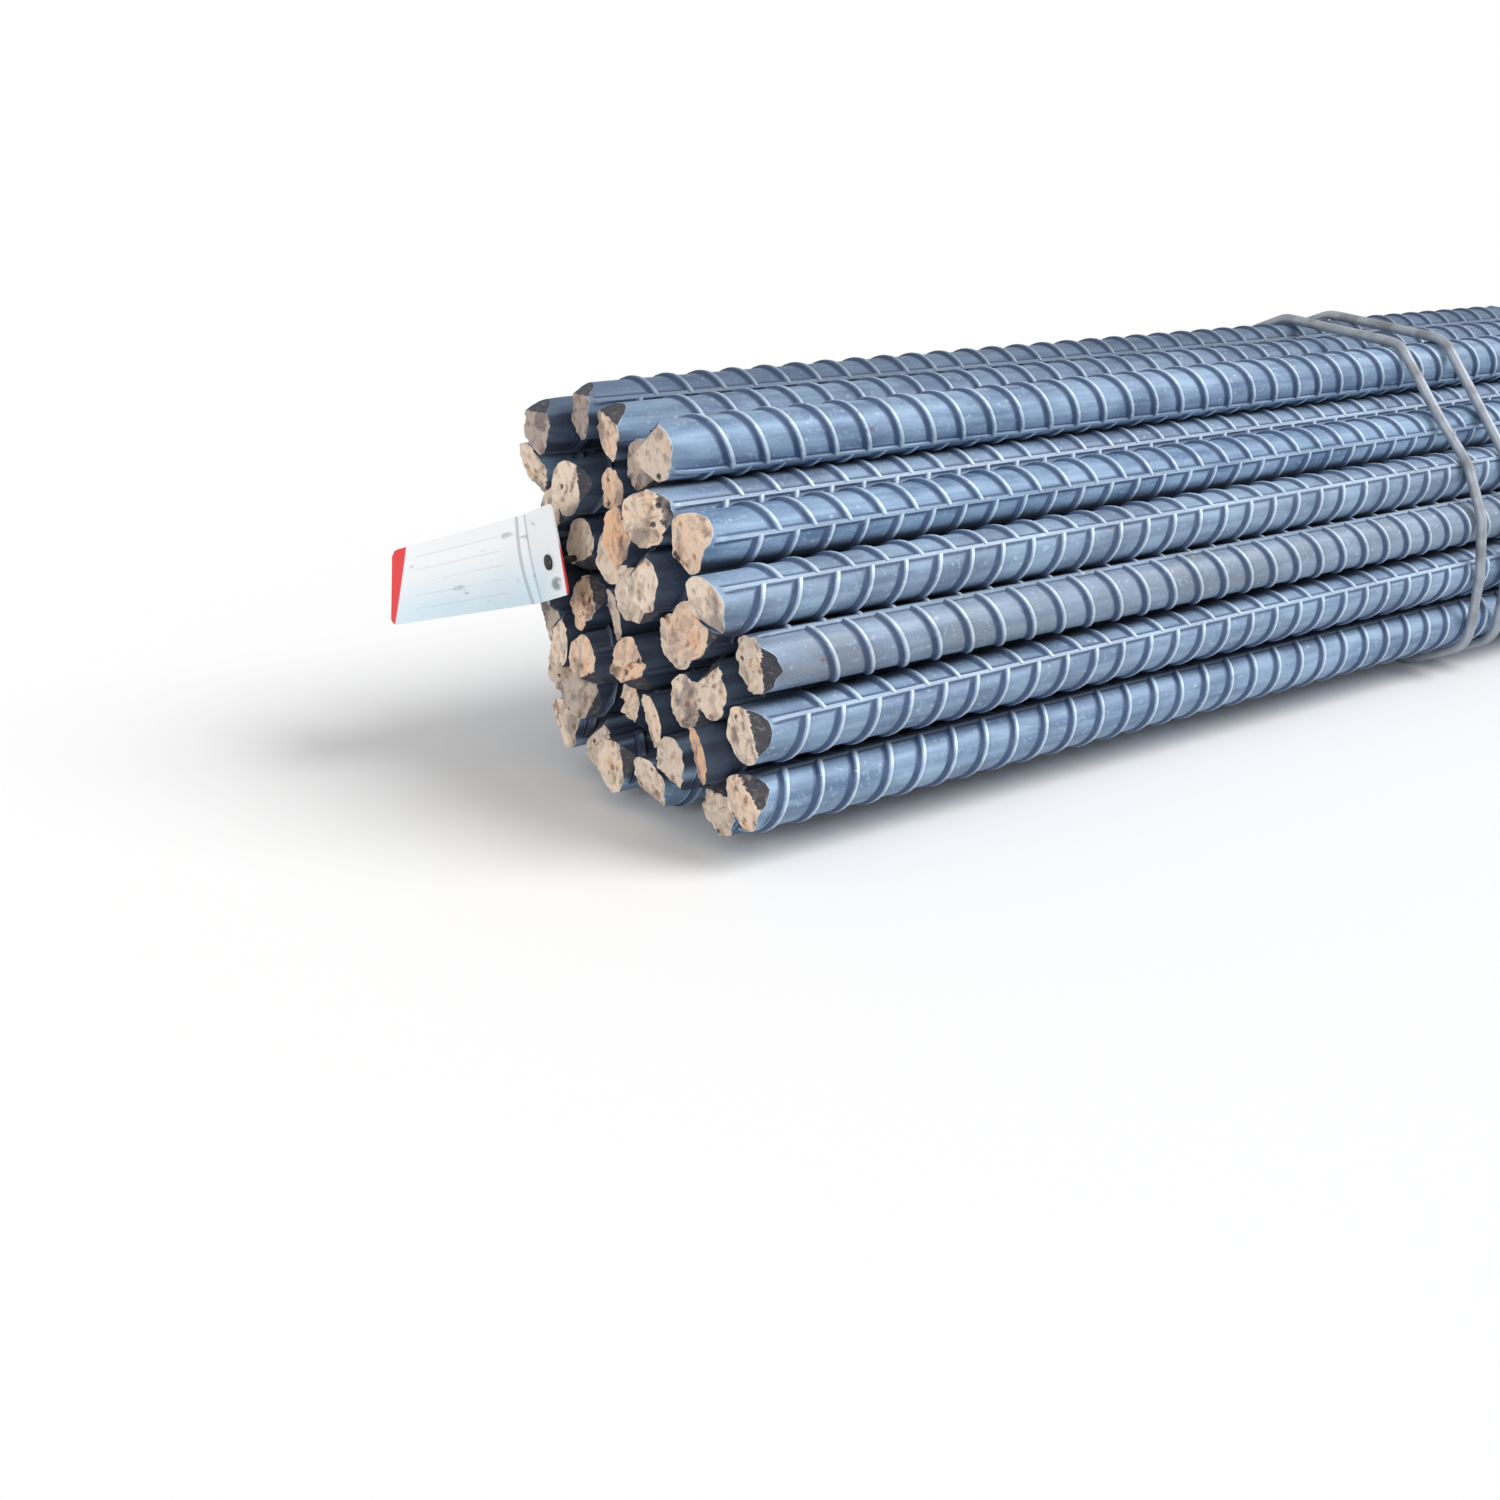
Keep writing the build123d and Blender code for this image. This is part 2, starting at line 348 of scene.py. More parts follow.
@dataclass(frozen=True)
class ShearedSteel:
    """A sheared end: a cream to orange torn face with stains, and a dark zone that the blade rolled."""

    cream: Colour = (0.930, 0.770, 0.620)
    orange: Colour = (0.860, 0.490, 0.280)
    grey: Colour = (0.220, 0.180, 0.180)
    umber: Colour = (0.260, 0.165, 0.125)
    rust: Colour = (0.200, 0.085, 0.045)
    pit: Colour = (0.022, 0.020, 0.030)
    rolled: Colour = (0.024, 0.028, 0.045)
    scraped: Colour = (0.180, 0.180, 0.195)
    lip: Colour = (0.900, 0.840, 0.780)
    metallic: float = 0.1

    def make(self) -> bpy.types.Material:
        """Builds the material."""
        skin = Skin("sheared steel")
        tint, zone, crest = (skin.attribute(name) for name in (TINT, ZONE, CREST))
        clouds = skin.mottle(130, 4, offset=2.2)
        patches = skin.mottle(65, 4, (1, 1, 0.8), 12.6)
        tears = skin.mottle(210, 5, (1, 1.2, 0.75), 6.3)
        grain = skin.mottle(1900, 2, offset=4.0)
        warm = (tint.ramp(0.30, 0.75) * 0.8 + clouds.ramp(0.54, 0.72) * 0.55).at_most(0.9)
        base = skin.blend(self.cream, self.orange, warm)
        ashen = patches.ramp(0.47, 0.33) * 0.75 + clouds.ramp(0.46, 0.32) * 0.35
        base = skin.blend(base, self.grey, (tint.ramp(0.30, 0.0) * 0.8 + ashen).at_most(0.95))
        stains = skin.specks(170, 0.34) * clouds.ramp(0.45, 0.57)
        in_torn = zone.ramp(0.1, 0.9)
        base = skin.blend(base, self.umber, tears.ramp(0.50, 0.64) * (0.40 + in_torn * 0.30))
        brown = (stains * 0.7 + tears.ramp(0.62, 0.72) * (0.25 + in_torn * 0.4)).at_most(0.85)
        base = skin.blend(base, self.rust, brown)
        pits = skin.specks(110, 0.17) * skin.mottle(60, 2, offset=9.1).ramp(0.47, 0.55)
        torn_pits = tears.ramp(0.66, 0.73) * in_torn
        base = skin.blend(base, self.pit, (pits + torn_pits).at_most(0.9))
        base = skin.blend(base, self.lip, crest.ramp(0.3, 1.0) * (0.4 + grain * 0.6))
        smeared = (zone - tears * 0.9 + 0.45).ramp(-0.10, -0.55)
        scrapes = skin.mottle(420, 3, (1, 0.5, 1.5), 3.9).ramp(0.52, 0.70)
        base = skin.blend(base, skin.blend(self.rolled, self.scraped, scrapes * 0.6), smeared * 0.97)
        relief = tears * 0.55 + grain * 0.2 + clouds * 0.25 - stains * 0.2 - pits * 0.6
        return skin.finish(base, 0.50 + grain * 0.25, self.metallic, relief, 0.0024)


@dataclass(frozen=True)
class DrawnWire:
    """The bare, slightly browned steel of the tie wire."""

    bright: Colour = (0.360, 0.395, 0.440)
    brown: Colour = (0.150, 0.145, 0.145)
    metallic: float = 0.4

    def make(self) -> bpy.types.Material:
        """Builds the material."""
        skin = Skin("drawn wire")
        tarnish = skin.mottle(90, 4).ramp(0.42, 0.68)
        grain = skin.mottle(1700, 2, offset=2.0)
        base = skin.blend(self.bright, self.brown, tarnish * 0.65)
        return skin.finish(base, 0.36 + grain * 0.2 + tarnish * 0.12, self.metallic, grain, 0.0002)


@dataclass(frozen=True)
class TagEnamel:
    """The tag's pale printed coat: plain ruled lines, worn folds and a red edge."""

    white: Colour = (0.930, 0.945, 0.960)
    blue: Colour = (0.600, 0.780, 0.880)
    line: Colour = (0.400, 0.480, 0.560)
    crease: Colour = (0.360, 0.420, 0.480)
    red: Colour = (0.760, 0.060, 0.060)
    dirt: Colour = (0.130, 0.150, 0.200)
    rule_count: float = 6.0
    fold_at: float = 0.325
    smear_at: Flat = (0.10, 0.15)

    def make(self) -> bpy.types.Material:
        """Builds the material."""
        skin = Skin("tag enamel")
        spot = skin.node("ShaderNodeUVMap", {"uv_map": TAG_UV}).outputs[0]
        axes = skin.node("ShaderNodeSeparateXYZ", sockets={0: spot})
        along, across = Shade(skin, axes.outputs[0]), Shade(skin, axes.outputs[1])
        clouds = skin.mottle(45, 4)
        grain = skin.mottle(900, 3, offset=1.5)
        pale_blue = (across.ramp(0.80, 0.05) * (0.45 + clouds * 0.6)).at_most(0.85)
        base = skin.blend(self.white, self.blue, pale_blue * along.ramp(0.0, 0.35))
        ruled = (across * (self.rule_count * math.pi)).wave().size().ramp(0.15, 0.05)
        plate = along.ramp(self.fold_at + 0.12, self.fold_at + 0.15) * along.ramp(0.90, 0.87)
        inked = ruled * plate * across.ramp(0.04, 0.07) * across.ramp(0.96, 0.93)
        base = skin.blend(base, self.line, inked * clouds.ramp(0.30, 0.50) * 0.4)
        near_fold = (along - self.fold_at - (across * math.pi).wave() * 0.018).size()
        twin = (near_fold - 0.028).size().ramp(0.011, 0.004)
        base = skin.blend(base, self.crease, twin * 0.7)
        wedge = (along + across * 0.055).ramp(0.978, 0.985)
        rim = (along + across * 0.034).ramp(0.022, 0.015)
        base = skin.blend(base, self.red, (wedge + rim).at_most(1.0))
        smear = ((along - self.smear_at[0]) * 14) ** 2 + ((across - self.smear_at[1]) * 11) ** 2
        smears = skin.mottle(140, 3, (1, 1, 2), 7.7)
        dirty = smear.ramp(1.0, 0.2) * smears.ramp(0.30, 0.52) + smears.ramp(0.64, 0.74) * 0.55
        base = skin.blend(base, self.dirt, dirty.at_most(1.0) * 0.8)
        relief = grain * 0.3 + clouds * 0.7
        return skin.finish(base, 0.38 + grain * 0.12 + smears * 0.1, 0.0, relief, 0.0004)


@dataclass(frozen=True)
class BlackSteel:
    """The dark oxide of the stud that holds the tag."""

    dark: Colour = (0.030, 0.028, 0.030)
    worn: Colour = (0.160, 0.140, 0.130)

    def make(self) -> bpy.types.Material:
        """Builds the material."""
        skin = Skin("black steel")
        wear = skin.mottle(500, 3).ramp(0.55, 0.75)
        grain = skin.mottle(2200, 2, offset=3.0)
        return skin.finish(skin.blend(self.dark, self.worn, wear), 0.45 + grain * 0.2, 0.5, grain, 0.0002)


@dataclass(frozen=True)
class StudioWhite:
    """The plain floor: near white to the camera and in reflections, and paler grey to other light."""

    seen: Colour = (1.000, 1.000, 1.000)
    unseen: Colour = (0.700, 0.710, 0.720)

    def make(self) -> bpy.types.Material:
        """Builds the material."""
        skin = Skin("studio floor")
        skin.feed(skin.shader.inputs["Base Color"], skin.blend(self.unseen, self.seen, seen_directly(skin)))
        skin.feed(skin.shader.inputs["Roughness"], 0.9)
        skin.feed(skin.shader.inputs["Specular IOR Level"], 0.0)
        return skin.material


@dataclass(frozen=True)
class Finishes:
    """The materials of the bundle, each made once."""

    scale: bpy.types.Material
    cut: bpy.types.Material
    wire: bpy.types.Material
    tag: bpy.types.Material
    stud: bpy.types.Material
    floor: bpy.types.Material

    @classmethod
    def made(cls) -> "Finishes":
        """Makes every finish."""
        return cls(
            MillScale().make(), ShearedSteel().make(), DrawnWire().make(),
            TagEnamel().make(), BlackSteel().make(), StudioWhite().make(),
        )


# Mesh helpers


def new_object(mesh: bpy.types.Mesh) -> bpy.types.Object:
    """Puts a mesh into the scene under its own name."""
    made = bpy.data.objects.new(mesh.name, mesh)
    bpy.context.scene.collection.objects.link(made)
    return made


def mesh_of(
    name: str, points: np.ndarray, faces: Sequence[Sequence[int]], materials: Sequence[bpy.types.Material]
) -> bpy.types.Mesh:
    """Makes a mesh.

    Args:
        name: the mesh's name.
        points: its vertices, one a row.
        faces: vertex numbers of each face, anticlockwise from outside.
        materials: its material slots.

    Returns:
        The mesh.
    """
    mesh = bpy.data.meshes.new(name)
    mesh.from_pydata([tuple(map(float, point)) for point in points], [], [tuple(face) for face in faces])
    for material in materials:
        mesh.materials.append(material)
    mesh.update()
    return mesh


def store(mesh: bpy.types.Mesh, name: str, kind: str, domain: str, values: Sequence[Any]) -> None:
    """Stores one value a point or face on a mesh.

    Args:
        mesh: the mesh.
        name: the attribute's name.
        kind: its data type.
        domain: POINT or FACE.
        values: the values in order.
    """
    mesh.attributes.new(name, kind, domain).data.foreach_set("value", values)


def smooth(mesh: bpy.types.Mesh) -> None:
    """Makes a mesh's faces smooth, with sharp edges by angle."""
    mesh.shade_smooth()
    mesh.set_sharp_from_angle(angle=SHARP_ANGLE)


def evaluated_mesh(host: bpy.types.Object, name: str) -> bpy.types.Mesh:
    """Turns an object with its modifier into a plain mesh, and takes the object away.

    Args:
        host: the object.
        name: the mesh's name.

    Returns:
        The mesh, with smooth faces and sharp edges by angle.
    """
    graph = bpy.context.evaluated_depsgraph_get()
    mesh = bpy.data.meshes.new_from_object(
        host.evaluated_get(graph), preserve_all_data_layers=True, depsgraph=graph
    )
    mesh.name = name
    smooth(mesh)
    host.modifiers.clear()
    bpy.data.objects.remove(host)
    return mesh


def settle(piece: bpy.types.Object, node: str) -> None:
    """Puts a piece under the frame's root body, hides the CAD node that it stands for and logs its faces.

    Args:
        piece: the finished object.
        node: the CAD node that it stands for.
    """
    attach(piece, "root")
    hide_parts(node)
    log.info("%s: %d faces", piece.name, len(piece.data.polygons))


def set_inputs(modifier: bpy.types.Modifier, values: dict[str, Any]) -> None:
    """Sets a Geometry Nodes modifier's inputs by their sockets' identifiers.

    Args:
        modifier: the modifier, with its tree.
        values: each input's name and value.
    """
    for item in modifier.node_group.interface.items_tree:
        if item.in_out == "INPUT" and item.name in values:
            modifier[item.identifier] = values[item.name]


def new_tree(name: str, inputs: dict[str, str]) -> Graph:
    """Starts a Geometry Nodes tree.

    Args:
        name: the tree's name.
        inputs: each input's name and socket type.

    Returns:
        A Graph on the tree, with its geometry output declared.
    """
    tree = bpy.data.node_groups.new(name, "GeometryNodeTree")
    tree.interface.new_socket(name="Geometry", in_out="OUTPUT", socket_type="NodeSocketGeometry")
    for label, kind in inputs.items():
        tree.interface.new_socket(name=label, in_out="INPUT", socket_type="NodeSocket" + kind)
    return Graph(tree)


def centre_of(node: str) -> Flat:
    """Gives a CAD bar's middle in the cross-section."""
    low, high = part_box(node)
    return ((low.y + high.y) / 2, (low.z + high.z) / 2)


# Bars


@dataclass(frozen=True)
class Ribbing:
    """The rolled pattern of a 25 mm bar: two long ribs, and crescent ribs in a row on each side."""

    core: float = 12.1 * MM
    long_rib: float = 0.85 * MM
    rib: float = 1.5 * MM
    sunk: float = 0.35 * MM
    skin: float = 0.1 * MM
    pitch: float = 17.5 * MM
    slant: float = 15.0 * MM
    long_top_angle: float = 3.4
    long_foot_angle: float = 6.4
    side_steps: int = 24
    arc: Flat = (1.5, 178.5)
    fine_steps: int = 16
    plain_steps: int = 5

    # A rib's profile: millimetres across, share of its height (none where it is flush with the
    # bar or sunk into it), and wear with a painted highlight on the lit flank (above 0) or painted shade
    # (below 0)
    fine_profile = (
        (-4.3, "sunk", 0.0), (-4.2, "flush", -0.30), (-2.7, "flush", -1.0), (-1.5, 0.80, -0.7),
        (-0.3, 1.0, 0.5), (1.1, 0.90, 1.0), (2.3, "flush", 0.0), (2.5, "sunk", 0.0),
    )
    plain_profile = ((-2.4, "sunk", -0.8), (0.2, 1.0, 0.9), (2.4, "sunk", 0.0))

    def spokes(self) -> np.ndarray:
        """Gives the section's angles from one long rib, in radians, anticlockwise."""
        side = np.linspace(self.long_foot_angle, 180 - self.long_foot_angle, self.side_steps + 1)
        half = np.concatenate(([0.0, self.long_top_angle], side, [180 - self.long_top_angle]))
        return np.radians(np.concatenate((half, half + 180)))

    def _off_rib(self) -> np.ndarray:
        """Gives how many degrees each spoke lies from the nearer long rib."""
        return np.abs((np.degrees(self.spokes()) + 90) % 180 - 90)

    def section(self) -> np.ndarray:
        """Gives the section's radius at each spoke."""
        return self.core + self.long_rib * (self._off_rib() <= self.long_top_angle + 0.01)

    def wear(self) -> np.ndarray:
        """Gives how worn or in painted shade the section is at each spoke: pale rib tops between feet in
        painted shade.
        """
        off_rib = self._off_rib()
        top = off_rib <= self.long_top_angle + 0.01
        return np.where(top, 0.38, np.where(off_rib <= self.long_foot_angle + 0.01, -0.75, 0.0))

    def crescent(
        self, name: str, side: int, fine: bool, scale: bpy.types.Material
    ) -> bpy.types.Object:
        """Makes one crescent rib about the bar's axis, from one long rib to the other.

        Args:
            name: the rib's name.
            side: 1 for the half after the first long rib, -1 for the half before it.
            fine: whether its top is rounded and its foot has a skin in painted shade.
            scale: its material.

        Returns:
            A hidden object for the tree to repeat.
        """
        profile = self.fine_profile if fine else self.plain_profile
        segments = self.fine_steps if fine else self.plain_steps
        start, end = self.arc
        points, crests = [], []
        for step in range(segments + 1):
            share = step / segments
            swell = 0.72 + 0.28 * math.sin(math.pi * share) ** 0.6
            angle = math.radians(side * (start + (end - start) * share))
            shift = self.slant * (0.5 - share)
            for across, height, crest in profile:
                rise = {"sunk": -self.sunk, "flush": self.skin}.get(height)
                radius = self.core + (self.rib * swell * height if rise is None else rise)
                points.append((shift + across * MM, radius * math.cos(angle), radius * math.sin(angle)))
                crests.append(crest)
        width = len(profile)
        faces = [tuple(range(width)), tuple(range(len(points) - 1, len(points) - width - 1, -1))]
        for step in range(segments):
            for strip in range(width):
                a, b = step * width + strip, step * width + (strip + 1) % width
                faces.append((a, a + width, b + width, b))
        if side > 0:
            faces = [face[::-1] for face in faces]
        mesh = mesh_of(name, np.array(points), faces, [scale])
        store(mesh, CREST, "FLOAT", "POINT", crests)
        rib = new_object(mesh)
        rib.hide_render = True
        return rib


@dataclass(frozen=True)
class EndCut:
    """How one end of a bar was sheared: its lean, its rolled corner, its flats and its raggedness."""

    facing: int
    lean: float
    turn: float
    chip_turn: float
    rolled_turn: float
    flats: tuple[Flat, ...]
    torn: float
    seed: float
    smear: float = 1.0
    place: float = 0.0
    limit: float = 1.0
    chip_depth: float = 5.5 * MM
    chip_angle: float = math.radians(50.0)
    radius: float = 12.5 * MM
    core: float = 12.1 * MM
    depth: float = 18.0 * MM
    lip: float = 0.9 * MM
    blend: float = 0.9 * MM
    rough_scale: float = 260.0
    step_scale: float = 180.0
    step_swing: float = 4 * MM
    torn_from: float = 1.5 * MM
    torn_drop: float = 1.5
    cap_rings: tuple[float, ...] = (0.0, 0.14, 0.27, 0.40, 0.51, 0.61, 0.70, 0.78, 0.85, 0.91, 0.96)
    side_rings: tuple[float, ...] = (0.03, 0.09, 0.18, 0.32, 0.55, 1.0)

    def _planes(self, across: float, upward: float, chip_turn: float) -> Flat:
        """Gives how far the cut and the rolled corner stand out at a place of the section."""
        face = -math.tan(self.lean) * (across * math.cos(self.turn) + upward * math.sin(self.turn))
        beyond = across * math.cos(chip_turn) + upward * math.sin(chip_turn)
        return face, -math.tan(self.chip_angle) * (beyond - (self.radius - self.chip_depth))

    def set_by(self, low: float, high: float) -> "EndCut":
        """Gives the same cut, set so that it reaches as far as the solid does.

        Args:
            low: the solid's least X.
            high: its greatest X.

        Returns:
            The cut in its place, with its outermost reach as a limit.
        """
        rim = [math.tau * step / 360 for step in range(360)]
        places = [(self.radius * math.cos(angle), self.radius * math.sin(angle)) for angle in rim]
        reach = max(min(self._planes(*place, self.chip_turn)) for place in places)
        place = low + reach if self.facing < 0 else high - reach
        return replace(self, place=place, limit=reach)

    def surface(self, across: float, upward: float) -> Flat:
        """Gives how far the torn face stands out at a place of the section, and what it looks like.

        Args:
            across: the place along Y from the bar's middle.
            upward: the place along Z from the bar's middle.

        Returns:
            Metres outward from the end's middle, and its zone: -1 rolled over, 0 cut, 1 torn.
        """
        face, rolled = self._planes(across, upward, self.rolled_turn)
        spot = Vector((across * self.rough_scale, upward * self.rough_scale, self.seed))
        rough = noise.fractal(spot, 0.8, 2.1, 4) * self.torn
        tear_line = across * math.sin(self.turn) - upward * math.cos(self.turn)
        broken = noise.noise(Vector((tear_line * self.step_scale, self.seed, 1.5))) * self.step_swing
        beyond = across * math.cos(self.rolled_turn) + upward * math.sin(self.rolled_turn)
        torn_off = beyond + broken > self.torn_from
        smeared = min(max((face - rolled) / self.blend + 0.3, 0.0), 1.0)
        out = min(face, rolled) + rough - (self.torn_drop * self.torn if torn_off else 0.0)
        return min(out, self.limit), (1.0 if torn_off else 0.0) * (1 - smeared) - smeared * self.smear

    def rim(self, angle: float) -> float:
        """Gives the sheared edge's radius at an angle from +Y, in radians."""
        radius = self.core * 0.99
        for turn, share in self.flats:
            towards = math.cos(angle - turn)
            if towards > 0.1:
                radius = min(radius, share * self.core / towards)
        wide = noise.noise(Vector((math.cos(angle) * 2.6, math.sin(angle) * 2.6, self.seed + 9)))
        fine = noise.noise(Vector((math.cos(angle) * 9.0, math.sin(angle) * 9.0, self.seed + 5)))
        return min(radius + (wide * 0.5 + fine * 0.35) * self.torn, self.core)

    def rings(
        self, spokes: np.ndarray, section: np.ndarray, middle: Flat
    ) -> tuple[list[np.ndarray], list[np.ndarray]]:
        """Gives the end's rings of points, from the face's middle back to the plain bar.

        Args:
            spokes: the section's angles from +Y.
            section: its radius at each.
            middle: the bar's middle.

        Returns:
            The rings, the first of them a single point, and each point's zone.
        """
        edge = np.array([self.rim(a) for a in spokes])
        cos, sin = np.cos(spokes), np.sin(spokes)
        made, zones = [], []
        for share in (*self.cap_rings, 1.0):
            radii = edge * share
            sampled = np.array([self.surface(r * c, r * s) for r, c, s in zip(radii, cos, sin)])
            made.append(self._ring(radii, sampled[:, 0], cos, sin, middle))
            zones.append(sampled[:, 1])
        made[0], zones[0] = made[0][:1], zones[0][:1]
        frill = np.array([0.6 + noise.noise(Vector((a * 3.0, self.seed, 4.0))) for a in spokes])
        lip = self.lip * np.clip(-np.cos(spokes - self.rolled_turn), 0, 1) ** 2 * frill
        stood = np.minimum(sampled[:, 0] + lip, self.limit)
        made[-1] = self._ring(edge, stood, cos, sin, middle)
        for share in self.side_rings:
            radii = edge + (section - edge) * math.sin(share * math.pi / 2) ** 0.7
            out = stood + (-self.depth - stood) * share
            made.append(self._ring(radii, out, cos, sin, middle))
            zones.append(zones[-1] * 0)
        return made, zones

    def _ring(
        self, radii: np.ndarray, out: np.ndarray, cos: np.ndarray, sin: np.ndarray, middle: Flat
    ) -> np.ndarray:
        """Gives one ring's points in the frame."""
        return np.column_stack(
            (self.place + self.facing * out, middle[0] + radii * cos, middle[1] + radii * sin)
        )


class Detail(Enum):
    """How a bar's crescent ribs are built."""

    SHOWN = "fine ribs to beyond the first tie, and plain ribs after them"
    OUTER = "fine ribs at the near end, and plain ribs after them"
    INNER = "plain ribs at the ends only"


@dataclass(frozen=True)
class BarLook:
    """What sets one bar apart, with angles in degrees from +Y.

    roll is where its first long rib lies. tint browns its scale, and face_tint takes its near end
    from grey (0) through cream (0.35) to orange (0.7). point says how pointed the near end is,
    toward point_turn, and flat_turn is where a flat takes its side off. torn is the raggedness in
    millimetres. rolled_turn is where the blade rolled the face over, smear how dark it left it, and
    cut how the face leans and to which side, if not as in the solid. dull darkens the whole bar.
    """

    roll: float
    tint: float
    face_tint: float
    point: float = 0.4
    point_turn: float = -108.0
    flat_turn: float = 5.0
    torn: float = 0.8
    rolled_turn: float | None = None
    smear: float = 1.0
    cut: Flat | None = None
    dull: float = 0.0

    def flats(self) -> tuple[Flat, ...]:
        """Gives the flats of the near end's outline: each a direction and a share of the radius."""
        sides = 1 - 0.22 * self.point
        return (
            (math.radians(self.point_turn - 50), sides),
            (math.radians(self.point_turn + 50), sides),
            (math.radians(self.flat_turn), 0.86),
        )


@dataclass
class RibbedBars:
    """All the bars: rolled bodies with sheared ends, and rows of ribs from a Geometry Nodes tree."""

    finishes: Finishes
    ribbing: Ribbing = field(default_factory=Ribbing)
    count: int = 44
    cut_leans: tuple[float, ...] = (7, -11, 14, -5, 10, -16, 4, 12, -8)
    cut_turns: tuple[float, ...] = (20, 95, 310, 150, 235, 60, 340)
    fine_run: float = 0.66
    end_run: float = 0.16
    long_shown: int = 12
    first_rib: float = 11 * MM
    bared_angle: float = 95.0
    crevice_reach: float = math.radians(25)
    under_shade: float = 0.30
    inner_shade: float = 0.78
    rim_wear: float = 0.8
    looks: dict[int, BarLook] = field(default_factory=dict)

    def __post_init__(self) -> None:
        """Reads the bars' places from the frame and makes the ribs and their tree."""
        self.middles = [centre_of(f"bar_{index + 1:02d}") for index in range(self.count)]
        make, scale = self.ribbing.crescent, self.finishes.scale
        self.ribs = {
            "Fine Rib Left": make("fine_rib_left", 1, True, scale),
            "Fine Rib Right": make("fine_rib_right", -1, True, scale),
            "Plain Rib Left": make("plain_rib_left", 1, False, scale),
            "Plain Rib Right": make("plain_rib_right", -1, False, scale),
        }
        self.tree = self._rib_tree()

    def _rib_tree(self) -> bpy.types.NodeTree:
        """Builds the tree that sets rows of ribs along a bar and joins them to its body.

        Returns:
            The tree, with its sizes as named inputs.
        """
        names = {name: "Object" for name in self.ribs}
        sizes = {
            "Fine Start": "Float", "Fine Count": "Int", "Plain Start": "Float", "Plain Count": "Int",
            "Pitch": "Float", "Narrowest": "Float", "Turn": "Float", "Roll": "Float", "Middle": "Vector",
            "Seed": "Int", "Scale": "Material",
        }
        graph = new_tree("rib rows", {"Body": "Geometry", **names, **sizes})
        given = graph.node("NodeGroupInput").outputs
        step = graph.node("ShaderNodeCombineXYZ", sockets={"X": given["Pitch"]}).outputs[0]
        joined = graph.node("GeometryNodeJoinGeometry")
        for number, name in enumerate(self.ribs):
            run, _, side = name.split()
            half = graph.node(
                "ShaderNodeMath", {"operation": "MULTIPLY_ADD"},
                {0: given["Pitch"], 1: 0.5 if side == "Right" else 0.0, 2: given[f"{run} Start"]},
            )
            start = graph.node("ShaderNodeCombineXYZ", sockets={"X": half.outputs[0]}).outputs[0]
            row = graph.node(
                "GeometryNodeMeshLine", {"mode": "OFFSET"},
                {"Count": given[f"{run} Count"], "Start Location": start, "Offset": step},
            )
            seed = graph.node("ShaderNodeMath", {"operation": "ADD"}, {0: given["Seed"], 1: float(number)})
            narrowed = graph.node(
                "FunctionNodeRandomValue", {"data_type": "FLOAT"},
                {2: given["Narrowest"], 3: 1.0, "Seed": seed.outputs[0]},
            ).outputs[1]
            size = graph.node("ShaderNodeCombineXYZ", sockets={"X": narrowed, "Y": 1.0, "Z": 1.0}).outputs[0]
            swing = graph.node(
                "FunctionNodeRandomValue", {"data_type": "FLOAT"},
                {2: 0.0, 3: given["Turn"], "ID": given["Seed"], "Seed": seed.outputs[0]},
            ).outputs[1]
            turn = graph.node("ShaderNodeCombineXYZ", sockets={"X": swing}).outputs[0]
            rib = graph.node(
                "GeometryNodeObjectInfo", {"transform_space": "ORIGINAL"}, {"Object": given[name]}
            ).outputs["Geometry"]
            ribs = graph.node(
                "GeometryNodeInstanceOnPoints",
                sockets={"Points": row.outputs[0], "Instance": rib, "Rotation": turn, "Scale": size},
            )
            graph.feed(joined.inputs[0], ribs.outputs[0])
        spin = graph.node("ShaderNodeCombineXYZ", sockets={"X": given["Roll"]}).outputs[0]
        placed = graph.node(
            "GeometryNodeTransform",
            sockets={"Geometry": joined.outputs[0], "Translation": given["Middle"], "Rotation": spin},
        )
        whole = graph.node("GeometryNodeJoinGeometry")
        graph.feed(whole.inputs[0], placed.outputs[0])
        graph.feed(whole.inputs[0], given["Body"])
        real = graph.node("GeometryNodeRealizeInstances", sockets={"Geometry": whole.outputs[0]})
        torn = graph.node("GeometryNodeInputNamedAttribute", {"data_type": "BOOLEAN"}, {"Name": SHEARED})
        rolled = graph.node("FunctionNodeBooleanMath", {"operation": "NOT"}, {0: torn.outputs[0]})
        dressed = graph.node(
            "GeometryNodeSetMaterial",
            sockets={"Geometry": real.outputs[0], "Selection": rolled.outputs[0], "Material": given["Scale"]},
        )
        graph.node("NodeGroupOutput", sockets={"Geometry": dressed.outputs[0]})
        return graph.tree

    def look(self, index: int) -> BarLook:
        """Gives a bar's look: the one set for it, or one drawn from its own number."""
        if index in self.looks:
            return self.looks[index]
        draw = np.random.default_rng(700 + index)
        return BarLook(
            roll=draw.uniform(0, 360), tint=draw.uniform(0, 0.6), face_tint=draw.uniform(0.1, 0.6),
            point=draw.choice([0.2, 0.5, 0.8]), point_turn=draw.uniform(-130, -70),
            flat_turn=draw.uniform(-25, 60), torn=draw.uniform(0.5, 1.3),
        )

